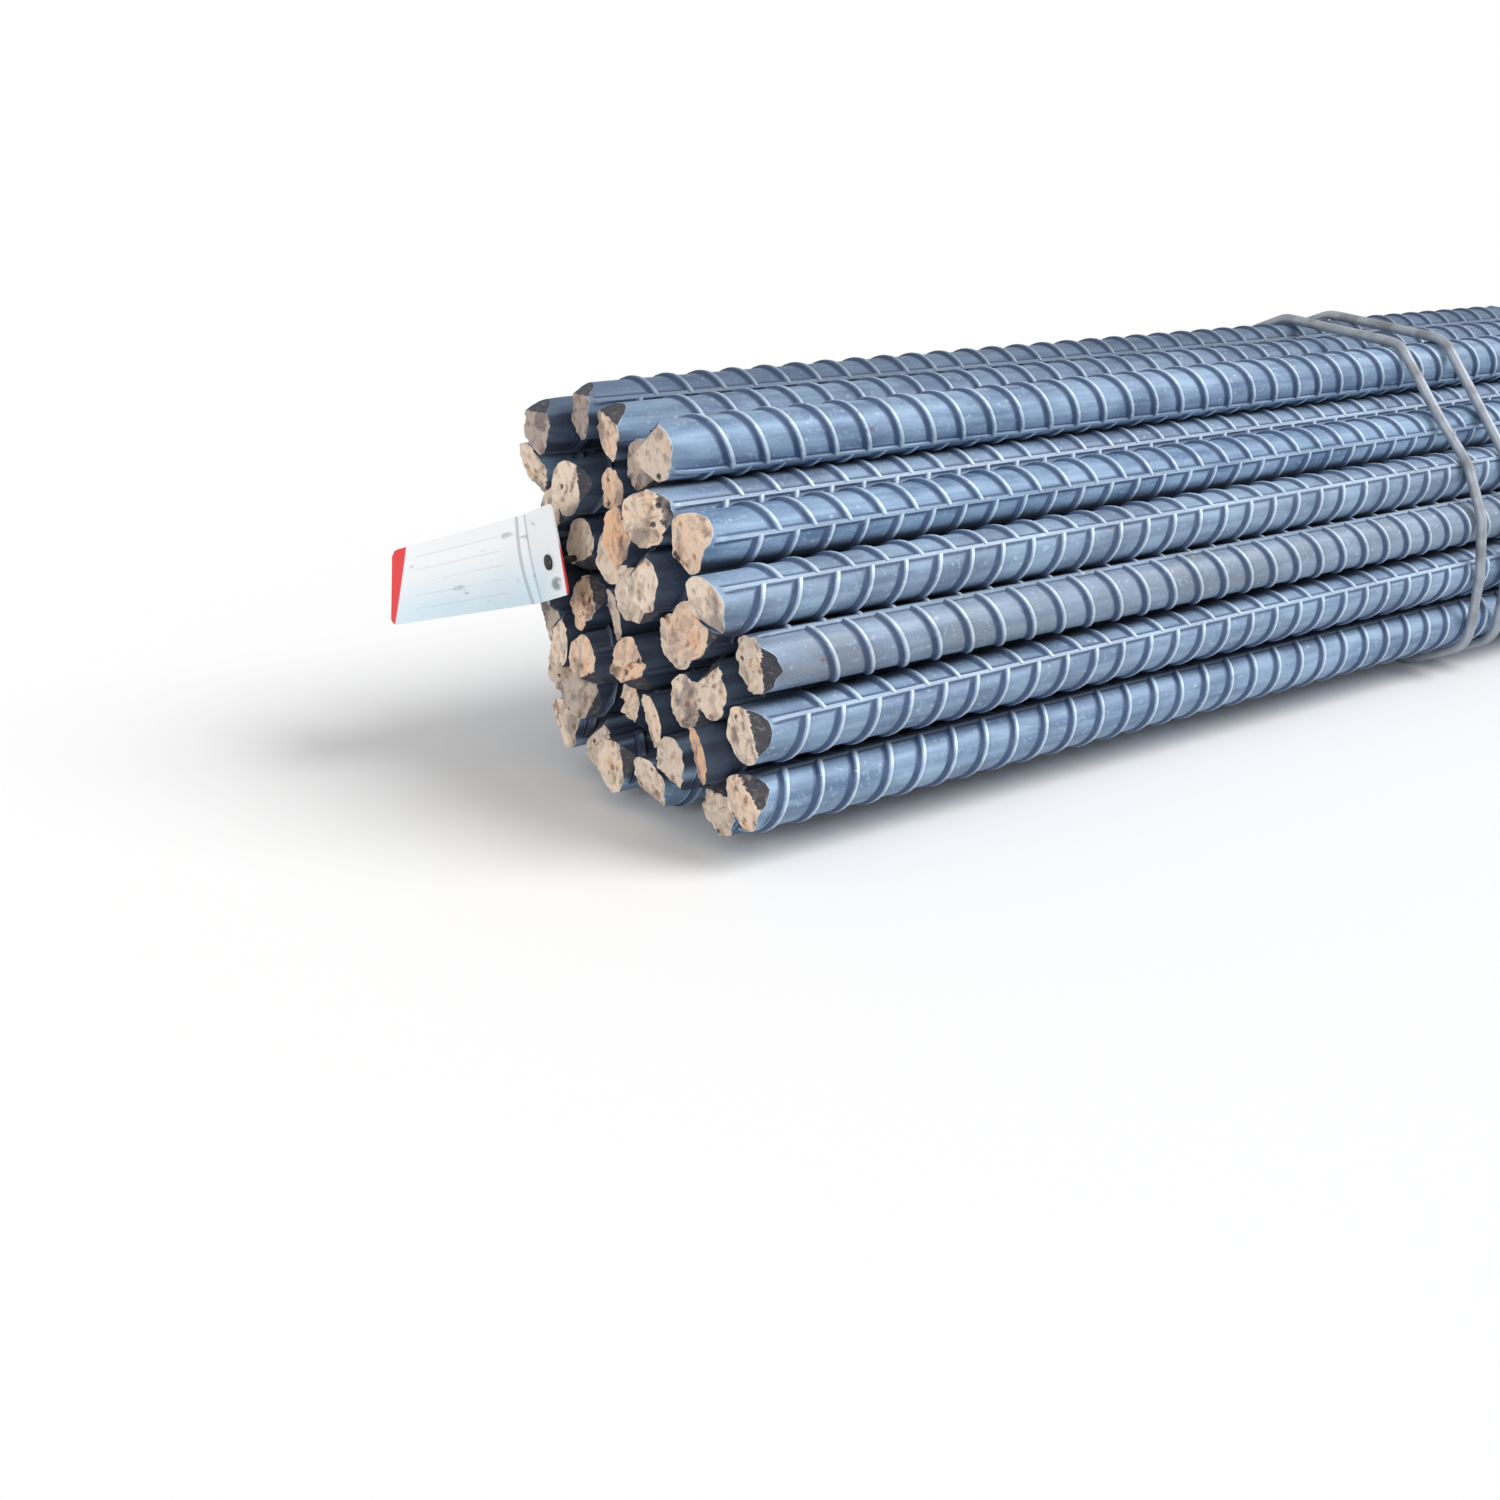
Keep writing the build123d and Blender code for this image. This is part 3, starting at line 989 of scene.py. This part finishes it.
    def end_cut(self, index: int, facing: int) -> EndCut:
        """Gives the cut of one end of a bar, which leans as the solid's does."""
        low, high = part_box(f"bar_{index + 1:02d}")
        look = self.look(index)
        chip_turn = math.radians(self.cut_turns[(index + 2 * facing) % len(self.cut_turns)] + 180)
        rolled = look.rolled_turn if facing < 0 else None
        lean = math.radians(self.cut_leans[(index + facing) % len(self.cut_leans)])
        turn = math.radians(self.cut_turns[(index - facing) % len(self.cut_turns)])
        cut = EndCut(
            facing=facing,
            lean=lean,
            turn=turn,
            chip_turn=chip_turn,
            rolled_turn=chip_turn if rolled is None else math.radians(rolled),
            flats=look.flats(),
            torn=look.torn * MM,
            seed=index * 3.7 + facing * 1.3 + 20,
            smear=look.smear if facing < 0 else 1.0,
        )
        cut = cut.set_by(low.x, high.x)
        if look.cut is None or facing > 0:
            return cut
        return replace(cut, lean=math.radians(look.cut[0]), turn=math.radians(look.cut[1]))

    def bearings(self, index: int) -> list[float]:
        """Gives the directions of a bar's neighbours in the section, in radians, in order."""
        y, z = self.middles[index]
        near = 1.5 * 2 * self.ribbing.core
        return sorted(
            math.atan2(other[1] - z, other[0] - y)
            for other in self.middles
            if 0 < math.dist(other, (y, z)) < near
        )

    def detail(self, index: int) -> Detail:
        """Says how much of a bar shows: the first few are those that the photograph shows along."""
        bearings = self.bearings(index)
        gaps = [(after - before) % math.tau for before, after in zip(bearings, bearings[1:] + bearings[:1])]
        if math.degrees(max(gaps)) <= self.bared_angle:
            return Detail.INNER
        return Detail.SHOWN if index < self.long_shown else Detail.OUTER

    def body(self, index: int) -> bpy.types.Mesh:
        """Builds one bar's rolled body and its sheared ends.

        Args:
            index: the bar's number from 0.

        Returns:
            The body's mesh, with its face and point attributes.
        """
        look = self.look(index)
        spokes = self.ribbing.spokes() + math.radians(look.roll)
        section = self.ribbing.section()
        near = self.end_cut(index, -1)
        far = self.end_cut(index, 1)
        far = replace(far, cap_rings=far.cap_rings[::2])
        near_rings, near_zones = near.rings(spokes, section, self.middles[index])
        far_rings, far_zones = far.rings(spokes, section, self.middles[index])
        rings, zones = near_rings + far_rings[::-1], near_zones + far_zones[::-1]
        near_torn, far_torn = len(near.cap_rings), len(rings) - 1 - len(far.cap_rings)
        count = len(spokes)
        starts = np.cumsum([0] + [len(ring) for ring in rings])
        faces, sheared = [], []
        for number, (ring, after) in enumerate(zip(rings, rings[1:])):
            a, b = starts[number], starts[number + 1]
            torn = number < near_torn or number >= far_torn
            for spoke in range(count):
                beside = (spoke + 1) % count
                if len(ring) == 1:
                    faces.append((a, b + beside, b + spoke))
                elif len(after) == 1:
                    faces.append((a + spoke, a + beside, b))
                else:
                    faces.append((a + spoke, a + beside, b + beside, b + spoke))
                sheared.append(torn)
        mesh = mesh_of(
            f"bar_body_{index + 1:02d}", np.vstack(rings), faces, [self.finishes.scale, self.finishes.cut]
        )
        mesh.polygons.foreach_set("material_index", np.array(sheared, dtype=np.int32))
        store(mesh, SHEARED, "BOOLEAN", "FACE", sheared)
        store(mesh, ZONE, "FLOAT", "POINT", np.concatenate(zones))
        # Crest values: worn long-rib tops with painted shade at their feet, and worn rims at the cut
        wear = self.ribbing.wear()
        crests = [wear if near_torn + 2 < number < far_torn - 1 else wear * 0 for number in range(len(rings))]
        crests[near_torn] = crests[far_torn] = self.rim_wear + wear * 0
        crests[0] = crests[-1] = np.zeros(1)
        store(mesh, CREST, "FLOAT", "POINT", np.concatenate(crests))
        return mesh

    def build(self, index: int) -> bpy.types.Object:
        """Builds one whole bar.

        Args:
            index: the bar's number from 0.

        Returns:
            The finished piece.
        """
        host = new_object(self.body(index))
        look, detail, pitch = self.look(index), self.detail(index), self.ribbing.pitch
        start = self.end_cut(index, -1).place + self.first_rib + (index * 0.37 % 1) * pitch
        stop = self.end_cut(index, 1).place - self.first_rib - pitch
        total = int((stop - start) / pitch) + 1
        end_count = int(self.end_run / pitch)
        near_run = int(self.fine_run / pitch) if detail is Detail.SHOWN else end_count
        plain_count = end_count if detail is Detail.INNER else total - near_run
        modifier = host.modifiers.new("ribs", "NODES")
        modifier.node_group = self.tree
        near_ribs = "Plain" if detail is Detail.INNER else "Fine"
        given = {
            **self.ribs,
            "Fine Start": start, "Fine Count": near_run,
            "Plain Start": start + (total - plain_count) * pitch, "Plain Count": plain_count,
            "Pitch": pitch, "Narrowest": 0.9, "Turn": 0.03,
            "Roll": math.radians(look.roll), "Middle": (0.0, *self.middles[index]),
            "Seed": 40 + index, "Scale": self.finishes.scale,
        }
        for side in ("Left", "Right"):
            given[f"Fine Rib {side}"] = self.ribs[f"{near_ribs} Rib {side}"]
        set_inputs(modifier, given)
        mesh = evaluated_mesh(host, f"ribbed_bar_{index + 1:02d}")
        self._tint(mesh, look)
        self._shade_crevices(mesh, index)
        piece = new_object(mesh)
        settle(piece, f"bar_{index + 1:02d}")
        return piece

    def _tint(self, mesh: bpy.types.Mesh, look: BarLook) -> None:
        """Stores a bar's tints on its faces: one for the scale and one for the sheared ends."""
        cut_slot = [material.name for material in mesh.materials].index(self.finishes.cut.name)
        slots = np.zeros(len(mesh.polygons), dtype=np.int32)
        mesh.polygons.foreach_get("material_index", slots)
        store(mesh, TINT, "FLOAT", "FACE", np.where(slots == cut_slot, look.face_tint, look.tint))

    def _shade_crevices(self, mesh: bpy.types.Mesh, index: int) -> None:
        """Stores how deep each point lies in painted shade between a bar and its neighbours, or under it;
        inner bars are shaded and dull bars darkened all over.
        """
        places = np.zeros(len(mesh.vertices) * 3, dtype=np.float32)
        mesh.vertices.foreach_get("co", places)
        y, z = self.middles[index]
        angles = np.arctan2(places[2::3] - z, places[1::3] - y)
        deep = self.under_shade * np.clip(-np.sin(angles), 0, 1)
        for bearing in self.bearings(index):
            off = np.abs((angles - bearing + math.pi) % math.tau - math.pi)
            deep = np.maximum(deep, np.exp(-((off / self.crevice_reach) ** 2)))
        if self.detail(index) is Detail.INNER:
            deep = np.maximum(deep, self.inner_shade)
        deep = np.maximum(deep, self.look(index).dull)
        store(mesh, CREVICE, "FLOAT", "POINT", deep)

    def build_all(self) -> None:
        """Builds every bar and takes the loose ribs away."""
        for index in range(self.count):
            self.build(index)
        for rib in self.ribs.values():
            bpy.data.objects.remove(rib)


# Wire ties


@dataclass
class WireTies:
    """The ties: each one length of wire, folded double, wrapped round the bars and twisted off."""

    finishes: Finishes
    bars: RibbedBars
    count: int = 4
    wire: float = 2.65 * MM
    wrap_radius: float = 15.6 * MM
    spacing: float = 31 * MM
    twist_reach: float = 18.2 * MM
    ear_drop: float = 11 * MM
    twist_length: float = 42 * MM
    step: float = 3.2 * MM
    sides: int = 12
    twist_steps: int = 26
    ear_steps: int = 7
    rise_steps: int = 11
    wrap_from: float = 16 * MM
    wrap_short: float = 34 * MM
    wander: float = 1.2 * MM
    fold_out: float = 2.9 * MM
    fold_drop: float = 3 * MM
    spread_at: tuple[float, ...] = (0.0, 0.10, 0.22, 0.40, 0.55, 0.75, 0.92, 1.0)
    spread_by: tuple[float, ...] = (0.0, 2 * MM, 6 * MM, 3 * MM, -2.5 * MM, 0.5 * MM, 0.0, 0.0)
    drift_by: tuple[float, ...] = (0.0, 0.0, 0.0, -7 * MM, -8 * MM, -3 * MM, 0.0, 0.0)

    def __post_init__(self) -> None:
        """Lays the wrap's path round the outer bars and builds the wire's tree."""
        self.path = self._wrap_path()
        self.tree = self._wire_tree()

    def _outer_corners(self) -> list[Flat]:
        """Gives the middles of the bars on the bundle's convex outline, anticlockwise."""
        corners: list[Flat] = []
        middles = self.bars.middles
        for run in (sorted(middles), sorted(middles, reverse=True)):
            side: list[Flat] = []
            for y, z in run:
                while len(side) > 1:
                    (ay, az), (by, bz) = side[-2:]
                    if (by - ay) * (z - az) - (bz - az) * (y - ay) > 1e-9:
                        break
                    side.pop()
                side.append((y, z))
            corners += side[:-1]
        return corners

    def _rim_point(self, corner: Flat, angle: float) -> np.ndarray:
        """Gives the wire's place at an angle round a corner bar."""
        return np.array(corner) + self.wrap_radius * np.array([math.cos(angle), math.sin(angle)])

    def _wrap_path(self) -> np.ndarray:
        """Gives the wrap's points round the bundle, from the far side's outermost point upward."""
        corners = self._outer_corners()
        first = corners.index(max(corners))
        corners = corners[first:] + corners[:first]
        points: list[np.ndarray] = []
        for number, corner in enumerate(corners):
            before, after = corners[number - 1], corners[(number + 1) % len(corners)]
            start = math.atan2(corner[1] - before[1], corner[0] - before[0]) - math.pi / 2
            end = math.atan2(after[1] - corner[1], after[0] - corner[0]) - math.pi / 2
            sweep = (end - start) % math.tau
            arc_steps = max(2, math.ceil(sweep * self.wrap_radius / self.step))
            shares = np.linspace(0, 1, arc_steps + 1)
            points += [self._rim_point(corner, start + sweep * share) for share in shares]
            run_start, run_end = self._rim_point(corner, end), self._rim_point(after, end)
            run_steps = max(1, math.ceil(math.dist(corner, after) / (2 * self.step)))
            points += [run_start + (run_end - run_start) * step / run_steps for step in range(1, run_steps)]
        ring = np.array(points)
        top = int(np.argmax(ring[:, 0] - 1e-3 * np.abs(ring[:, 1] - corners[0][1])))
        return np.vstack((ring[top:], ring[:top]))

    def _wire_tree(self) -> bpy.types.NodeTree:
        """Builds the tree that gives a path its round wire."""
        graph = new_tree("wire on a path", {
            "Path": "Geometry", "Wire Radius": "Float", "Sides": "Int", "Steel": "Material",
        })
        given = graph.node("NodeGroupInput").outputs
        ring = graph.node(
            "GeometryNodeCurvePrimitiveCircle",
            sockets={"Resolution": given["Sides"], "Radius": given["Wire Radius"]},
        )
        wire = graph.node(
            "GeometryNodeCurveToMesh",
            sockets={"Curve": given["Path"], "Profile Curve": ring.outputs[0], "Fill Caps": True},
        )
        real = graph.node("GeometryNodeRealizeInstances", sockets={"Geometry": wire.outputs[0]})
        dressed = graph.node(
            "GeometryNodeSetMaterial", sockets={"Geometry": real.outputs[0], "Material": given["Steel"]}
        )
        graph.node("NodeGroupOutput", sockets={"Geometry": dressed.outputs[0]})
        return graph.tree

    @staticmethod
    def _bezier(steps: int, *handles: np.ndarray) -> np.ndarray:
        """Gives points along a cubic curve.

        Args:
            steps: how many points it gives.
            handles: its start, its two handles and its end.

        Returns:
            The points between the two ends, without them.
        """
        share = np.linspace(0, 1, steps + 2)[1:-1, None]
        rest = 1 - share
        a, b, c, d = handles
        return a * rest**3 + b * 3 * rest**2 * share + c * 3 * rest * share**2 + d * share**3

    def _half(self, middle_x: float, side: int, number: int) -> np.ndarray:
        """Gives one half of a tie's wire, from its free end in the twist to the top of the fold.

        Args:
            middle_x: the tie's place along the bars.
            side: -1 for the wrap nearer the tagged end, 1 for the other.
            number: the tie's number.

        Returns:
            The half's points in order.
        """
        ring = self.path
        knot_y = ring[0][0] - self.wrap_radius + self.twist_reach
        knot_z = ring[0][1] - self.ear_drop
        turns = np.linspace(1, 0, self.twist_steps)
        angle = turns * math.tau + (math.pi if side < 0 else 0.0)
        splay = 1 + 0.5 * np.clip(turns - 0.82, 0, 1) / 0.18
        twist = np.column_stack((
            middle_x + self.wire * 1.04 * splay * np.cos(angle),
            knot_y + self.wire * 1.04 * splay * np.sin(angle) * 0.98,
            knot_z - self.twist_length * turns,
        ))
        length = np.concatenate(([0.0], np.cumsum(np.linalg.norm(np.diff(ring, axis=0), axis=1))))
        whole = length[-1]
        kept = (length > self.wrap_from) & (length < whole - self.wrap_short)
        along = length[kept] / whole
        spread = side * np.interp(along, self.spread_at, self.spread_by)
        wander = spread + np.interp(along, self.spread_at, self.drift_by)
        wander += self.wander * np.sin(2 * math.tau * along + 2 * side + number)
        ends = np.clip(np.minimum(along, 1 - along) * 9, 0, 1)
        wrap = np.column_stack((
            middle_x + side * self.spacing / 2 + wander * ends, ring[kept][:, 0], ring[kept][:, 1],
        ))
        top, low = wrap[0], wrap[-1]
        knot = twist[-1]
        ear_handles = np.array(((0, -1.5, 6), (-side * 3, 0.4, -9))) * MM
        ear = self._bezier(self.ear_steps, knot, knot + ear_handles[0], top + ear_handles[1], top)
        peak = np.array((middle_x, knot_y + self.fold_out, ring[0][1] - self.fold_drop))
        into_peak = peak + np.array((side * 15, -1.2, 0)) * MM
        rise = self._bezier(self.rise_steps, low, low + (low - wrap[-2]) * 5, into_peak, peak)
        runs = (twist, ear, wrap, rise)
        return np.vstack((*runs, peak[None, :]) if side < 0 else runs)

    def build(self, number: int) -> bpy.types.Object:
        """Builds one tie.

        Args:
            number: the tie's number from 1.

        Returns:
            The finished piece.
        """
        low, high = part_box(f"tie_{number}")
        middle_x = (low.x + high.x) / 2
        line = np.vstack((self._half(middle_x, -1, number), self._half(middle_x, 1, number)[::-1]))
        curve = bpy.data.curves.new("tie_path", "CURVE")
        curve.dimensions = "3D"
        spline = curve.splines.new("POLY")
        spline.points.add(len(line) - 1)
        spline.points.foreach_set("co", np.column_stack((line, np.ones(len(line)))).ravel())
        host = bpy.data.objects.new("tie_path", curve)
        bpy.context.scene.collection.objects.link(host)
        modifier = host.modifiers.new("wire", "NODES")
        modifier.node_group = self.tree
        set_inputs(modifier, {"Wire Radius": self.wire, "Sides": self.sides, "Steel": self.finishes.wire})
        mesh = evaluated_mesh(host, f"wire_tie_{number}")
        piece = new_object(mesh)
        settle(piece, f"tie_{number}")
        return piece

    def build_all(self) -> None:
        """Builds every tie."""
        for number in range(1, self.count + 1):
            self.build(number)


# Tag and its stud


@dataclass
class Tag:
    """The bent identification tag and the headed stud that holds it to a bar's end."""

    finishes: Finishes
    length: float = 99.4 * MM
    width: float = 40 * MM
    thickness: float = 0.8 * MM
    flap: float = 30 * MM
    bend_radius: float = 4 * MM
    bend: float = math.radians(50.0)
    roll: float = math.radians(-20.0)
    lean: float = math.radians(30.0)
    from_fold: float = 17 * MM
    below_middle: float = 4 * MM
    corner: float = 3 * MM
    bow: float = 1.2 * MM
    head_radius: float = 3.5 * MM
    head_thickness: float = 1.4 * MM
    gap: float = 0.3 * MM
    stem_radius: float = 1.5 * MM
    stem_short: float = 2.2 * MM
    stud_sides: int = 28
    rows: int = 12
    columns: int = 60

    def __post_init__(self) -> None:
        """Finds the stud's place in the frame."""
        low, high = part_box("tag_nail")
        self.head_x, self.foot_x = low.x, high.x
        self.middle = (low + high) / 2
        self.sheet_x = self.head_x + self.head_thickness + self.gap + self.thickness

    def _line(self, distance: float) -> tuple[float, float, float]:
        """Gives the sheet's line across the fold.

        Args:
            distance: how far along the sheet, from the flap's free edge.

        Returns:
            Its place along the flap, its place toward the viewer, and its heading in radians.
        """
        along = distance - self.flap
        if along <= 0:
            return self.from_fold + along, 0.0, 0.0
        turned = min(along / self.bend_radius, self.bend)
        a = self.from_fold + self.bend_radius * math.sin(turned)
        b = self.bend_radius * (1 - math.cos(turned))
        beyond = max(0.0, along - self.bend_radius * self.bend)
        return a + beyond * math.cos(self.bend), b + beyond * math.sin(self.bend), turned

    def _place(self, distance: float, up: float, layer: float) -> Vector:
        """Gives a point of the sheet in the frame.

        Args:
            distance: how far along the sheet.
            up: how far across it from its middle.
            layer: how far through its thickness, from 0 at the back.

        Returns:
            The point.
        """
        a, b, heading = self._line(distance)
        fold_end = self.flap + self.bend_radius * self.bend
        beyond = min(max(0.0, (distance - fold_end) / (self.length - fold_end)), 1.0)
        outward = layer - self.bow * math.sin(math.pi * beyond) - up * math.sin(self.lean) * beyond
        a -= outward * math.sin(heading)
        b += outward * math.cos(heading)
        height = up * (1 - beyond * (1 - math.cos(self.lean))) + self.below_middle
        return Vector((
            self.sheet_x - b,
            self.middle.y + a * math.cos(self.roll) - height * math.sin(self.roll),
            self.middle.z + a * math.sin(self.roll) + height * math.cos(self.roll),
        ))

    def build_sheet(self) -> bpy.types.Object:
        """Builds the bent sheet with rounded corners and its own UV map.

        Returns:
            The finished piece.
        """
        rows, columns = self.rows, self.columns
        stations = self.length * (0.5 - 0.5 * np.cos(np.linspace(0, math.pi, columns + 1))) * 0.35
        stations += self.length * np.linspace(0, 1, columns + 1) * 0.65
        points, spots = [], []
        for layer in (self.thickness, 0.0):
            for distance in stations:
                near_end = max(0.0, self.corner - min(distance, self.length - distance))
                half = self.width / 2 - (self.corner - math.sqrt(max(0.0, self.corner**2 - near_end**2)))
                for share in np.linspace(-1, 1, rows + 1):
                    points.append(self._place(distance, half * share, layer))
                    spots.append((distance / self.length, 0.5 + half * share / self.width))
        wide = rows + 1
        back = len(points) // 2
        faces = []
        for column in range(columns):
            for row in range(rows):
                a = column * wide + row
                faces.append((a, a + wide, a + wide + 1, a + 1))
                faces.append((back + a, back + a + 1, back + a + wide + 1, back + a + wide))
        border = list(range(rows))
        border += [column * wide + rows for column in range(columns)]
        border += [columns * wide + row for row in range(rows, 0, -1)]
        border += [column * wide for column in range(columns, 0, -1)]
        for a, b in zip(border, border[1:] + border[:1]):
            faces.append((a, b, back + b, back + a))
        mesh = mesh_of("tag_sheet", np.array([tuple(p) for p in points]), faces, [self.finishes.tag])
        uv = mesh.uv_layers.new(name=TAG_UV)
        corners = np.zeros(len(mesh.loops), dtype=np.int32)
        mesh.loops.foreach_get("vertex_index", corners)
        uv.data.foreach_set("uv", np.array(spots, dtype=np.float32)[corners].ravel())
        smooth(mesh)
        piece = new_object(mesh)
        settle(piece, "tag")
        return piece

    def build_stud(self) -> bpy.types.Object:
        """Builds the domed, slightly battered head and the stem.

        Returns:
            The finished piece.
        """
        head, stem, thick = self.head_radius, self.stem_radius, self.head_thickness
        stem_end = self.foot_x - self.head_x - self.stem_short
        outline = [
            (0.0, 0.0), (0.35 * head, 0.02 * thick), (0.7 * head, 0.14 * thick), (0.92 * head, 0.34 * thick),
            (head, 0.6 * thick), (0.97 * head, 0.9 * thick), (0.9 * head, thick), (stem, thick),
            (stem, 1.6 * thick), (stem, stem_end), (0.0, stem_end),
        ]
        spokes = self.stud_sides
        points, faces = [], []
        for number, (radius, depth) in enumerate(outline):
            for spoke in range(spokes):
                angle = math.tau * spoke / spokes
                dent = 1 + 0.05 * noise.noise(Vector((math.cos(angle) * 1.7, math.sin(angle) * 1.7, 3.0)))
                points.append((
                    self.head_x + depth,
                    self.middle.y + radius * dent * math.cos(angle),
                    self.middle.z + radius * dent * math.sin(angle),
                ))
            if number:
                for spoke in range(spokes):
                    a, b = (number - 1) * spokes + spoke, (number - 1) * spokes + (spoke + 1) % spokes
                    faces.append((a, b, b + spokes, a + spokes))
        mesh = mesh_of("tag_stud", np.array(points), faces, [self.finishes.stud])
        self._weld(mesh)
        smooth(mesh)
        piece = new_object(mesh)
        settle(piece, "tag_nail")
        return piece

    @staticmethod
    def _weld(mesh: bpy.types.Mesh) -> None:
        """Joins the points that lie together at a turned shape's poles."""
        shape = bmesh.new()
        shape.from_mesh(mesh)
        bmesh.ops.remove_doubles(shape, verts=shape.verts, dist=1e-6)
        bmesh.ops.recalc_face_normals(shape, faces=shape.faces)
        shape.to_mesh(mesh)
        shape.free()


# Studio


@dataclass
class Studio:
    """A pale floor, plain soft light, and the camera where the photograph was taken."""

    finishes: Finishes
    from_tie: Point = (-0.7855, -0.5582, 0.2679)
    forward: Point = (0.5087, 0.7805, -0.3633)
    focal: float = 36.0
    floor_reach: float = 14.0
    key_from: Point = (0.50, -0.52, 0.69)
    key_level: float = 2.1
    fill_from: Point = (-0.88, -0.36, 0.31)
    fill_level: float = 1.1
    spread: float = 34.0
    ambient: float = 0.43

    def build(self) -> None:
        """Builds the floor, the light and the camera."""
        self._floor()
        self._sun("soft_key", self.key_from, self.key_level)
        self._sun("soft_fill", self.fill_from, self.fill_level)
        self._surroundings()
        self._camera()
        bpy.context.scene.view_settings.view_transform = "Standard"

    def _floor(self) -> None:
        """Lays the floor under the bundle."""
        reach = self.floor_reach
        corners = np.array([(-reach, -reach, 0), (reach, -reach, 0), (reach, reach, 0), (-reach, reach, 0)])
        new_object(mesh_of("floor", corners, [(0, 1, 2, 3)], [self.finishes.floor]))

    def _sun(self, name: str, place: Point, level: float) -> None:
        """Sets one broad soft lamp far off.

        Args:
            name: the lamp's name.
            place: the direction that its light comes from.
            level: its strength.
        """
        sun = bpy.data.lights.new(name, "SUN")
        sun.energy = level
        sun.angle = math.radians(self.spread)
        lamp = bpy.data.objects.new(name, sun)
        lamp.rotation_euler = Vector(place).to_track_quat("Z", "Y").to_euler()
        bpy.context.scene.collection.objects.link(lamp)

    def _surroundings(self) -> None:
        """Sets an even surrounding light that itself shows white."""
        world = bpy.data.worlds.new("studio")
        world.use_nodes = True
        bpy.context.scene.world = world
        graph = Graph(world.node_tree)
        level = self.ambient + seen_directly(graph) * (1 - self.ambient)
        sky = graph.node("ShaderNodeBackground", sockets={"Color": (1.0, 1.0, 1.0, 1.0), "Strength": level})
        graph.node("ShaderNodeOutputWorld", sockets={"Surface": sky.outputs[0]})

    def _camera(self) -> None:
        """Stands the camera at the photograph's place, measured from the first tie."""
        low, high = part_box("tie_1")
        dx, y, z = self.from_tie
        lens = bpy.data.cameras.new("photo_view")
        lens.lens = self.focal
        lens.sensor_width = 36.0
        lens.clip_start = 0.02
        lens.clip_end = 60.0
        camera = bpy.data.objects.new("photo_view", lens)
        ahead = Vector(self.forward).normalized()
        right = ahead.cross(Vector((0, 0, 1))).normalized()
        turn = Matrix((right, right.cross(ahead), -ahead)).transposed().to_4x4()
        camera.matrix_world = Matrix.Translation(((low.x + high.x) / 2 + dx, y, z)) @ turn
        bpy.context.scene.collection.objects.link(camera)
        bpy.context.scene.camera = camera


# The looks of the bars that show in the photograph, by their numbers from 0
SHOWN_BARS: dict[int, BarLook] = {
    0: BarLook(
        100, 0.15, 0.45, point=0.6, point_turn=-110, flat_turn=10, torn=0.5, rolled_turn=135, smear=0.55,
    ),
    1: BarLook(140, 0.20, 0.30, point=0.3, point_turn=-100, flat_turn=20, torn=0.7, smear=0.65),
    2: BarLook(-80, 0.60, 0.22, point=0.4, point_turn=-105, torn=1.2, rolled_turn=190),
    3: BarLook(138, 0.28, 0.30, point=0.7, point_turn=-112, flat_turn=0, torn=0.35),
    4: BarLook(165, 0.0, 0.50, point=0.6, point_turn=-110, flat_turn=0, torn=0.25, smear=0.2),
    5: BarLook(
        150, 0.30, 0.42, point=0.3, flat_turn=60, torn=1.6, rolled_turn=160, smear=0.45, cut=(9, 185),
    ),
    6: BarLook(218, 0.10, 0.20, point=0.8, point_turn=-115, flat_turn=10, torn=0.3),
    7: BarLook(190, 0.25, 0.10, torn=1.0),
    8: BarLook(200, 0.10, 0.48, point=0.6, torn=0.8, rolled_turn=95, dull=0.42),
    9: BarLook(152, 0.10, 0.08, point=0.7, torn=0.8, rolled_turn=80, dull=0.60),
    10: BarLook(60, 0.20, 0.10, point=0.7, torn=0.8, rolled_turn=90, dull=0.70),
    11: BarLook(30, 0.20, 0.20, point=0.7, torn=1.0, rolled_turn=90),
    12: BarLook(75, 0.20, 0.70, point=0.4, torn=0.7),
    13: BarLook(10, 0.20, 0.25, point=0.5, torn=1.0),
    14: BarLook(45, 0.20, 0.20, point=0.5, torn=0.9, rolled_turn=-80),
    15: BarLook(20, 0.30, 0.52, point=0.3, torn=1.2),
    16: BarLook(80, 0.20, 0.35, point=0.5, torn=1.3),
    17: BarLook(120, 0.20, 0.35, point=0.9, torn=0.6),
    18: BarLook(55, 0.20, 0.34, point=0.4, torn=0.8),
    20: BarLook(65, 0.20, 0.28, point=0.8, point_turn=-115, flat_turn=15, torn=0.4),
    21: BarLook(5, 0.20, 0.55, point=0.4, torn=1.4),
    22: BarLook(25, 0.20, 0.35, point=0.9, torn=0.7),
    24: BarLook(95, 0.20, 0.45, point=0.3, torn=1.5),
    25: BarLook(70, 0.20, 0.75, point=0.6, torn=0.7),
    29: BarLook(35, 0.20, 0.35, point=0.6, torn=0.6),
    31: BarLook(15, 0.20, 0.55, point=0.7, torn=0.8),
    35: BarLook(85, 0.20, 0.32, point=0.6, torn=0.5),
    36: BarLook(60, 0.20, 0.30, point=0.6, torn=0.6),
    37: BarLook(50, 0.20, 0.18, point=0.5, torn=1.5),
    42: BarLook(40, 0.20, 0.40, point=0.7, torn=0.9),
}


def main() -> None:
    """Builds the bundle's looks in order."""
    logging.basicConfig(level=logging.INFO, format="%(name)s %(message)s")
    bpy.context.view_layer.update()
    finishes = Finishes.made()
    Studio(finishes).build()
    bars = RibbedBars(finishes, looks=SHOWN_BARS)
    bars.build_all()
    WireTies(finishes, bars).build_all()
    tag = Tag(finishes)
    tag.build_sheet()
    tag.build_stud()


if __name__ == "__main__":
    main()
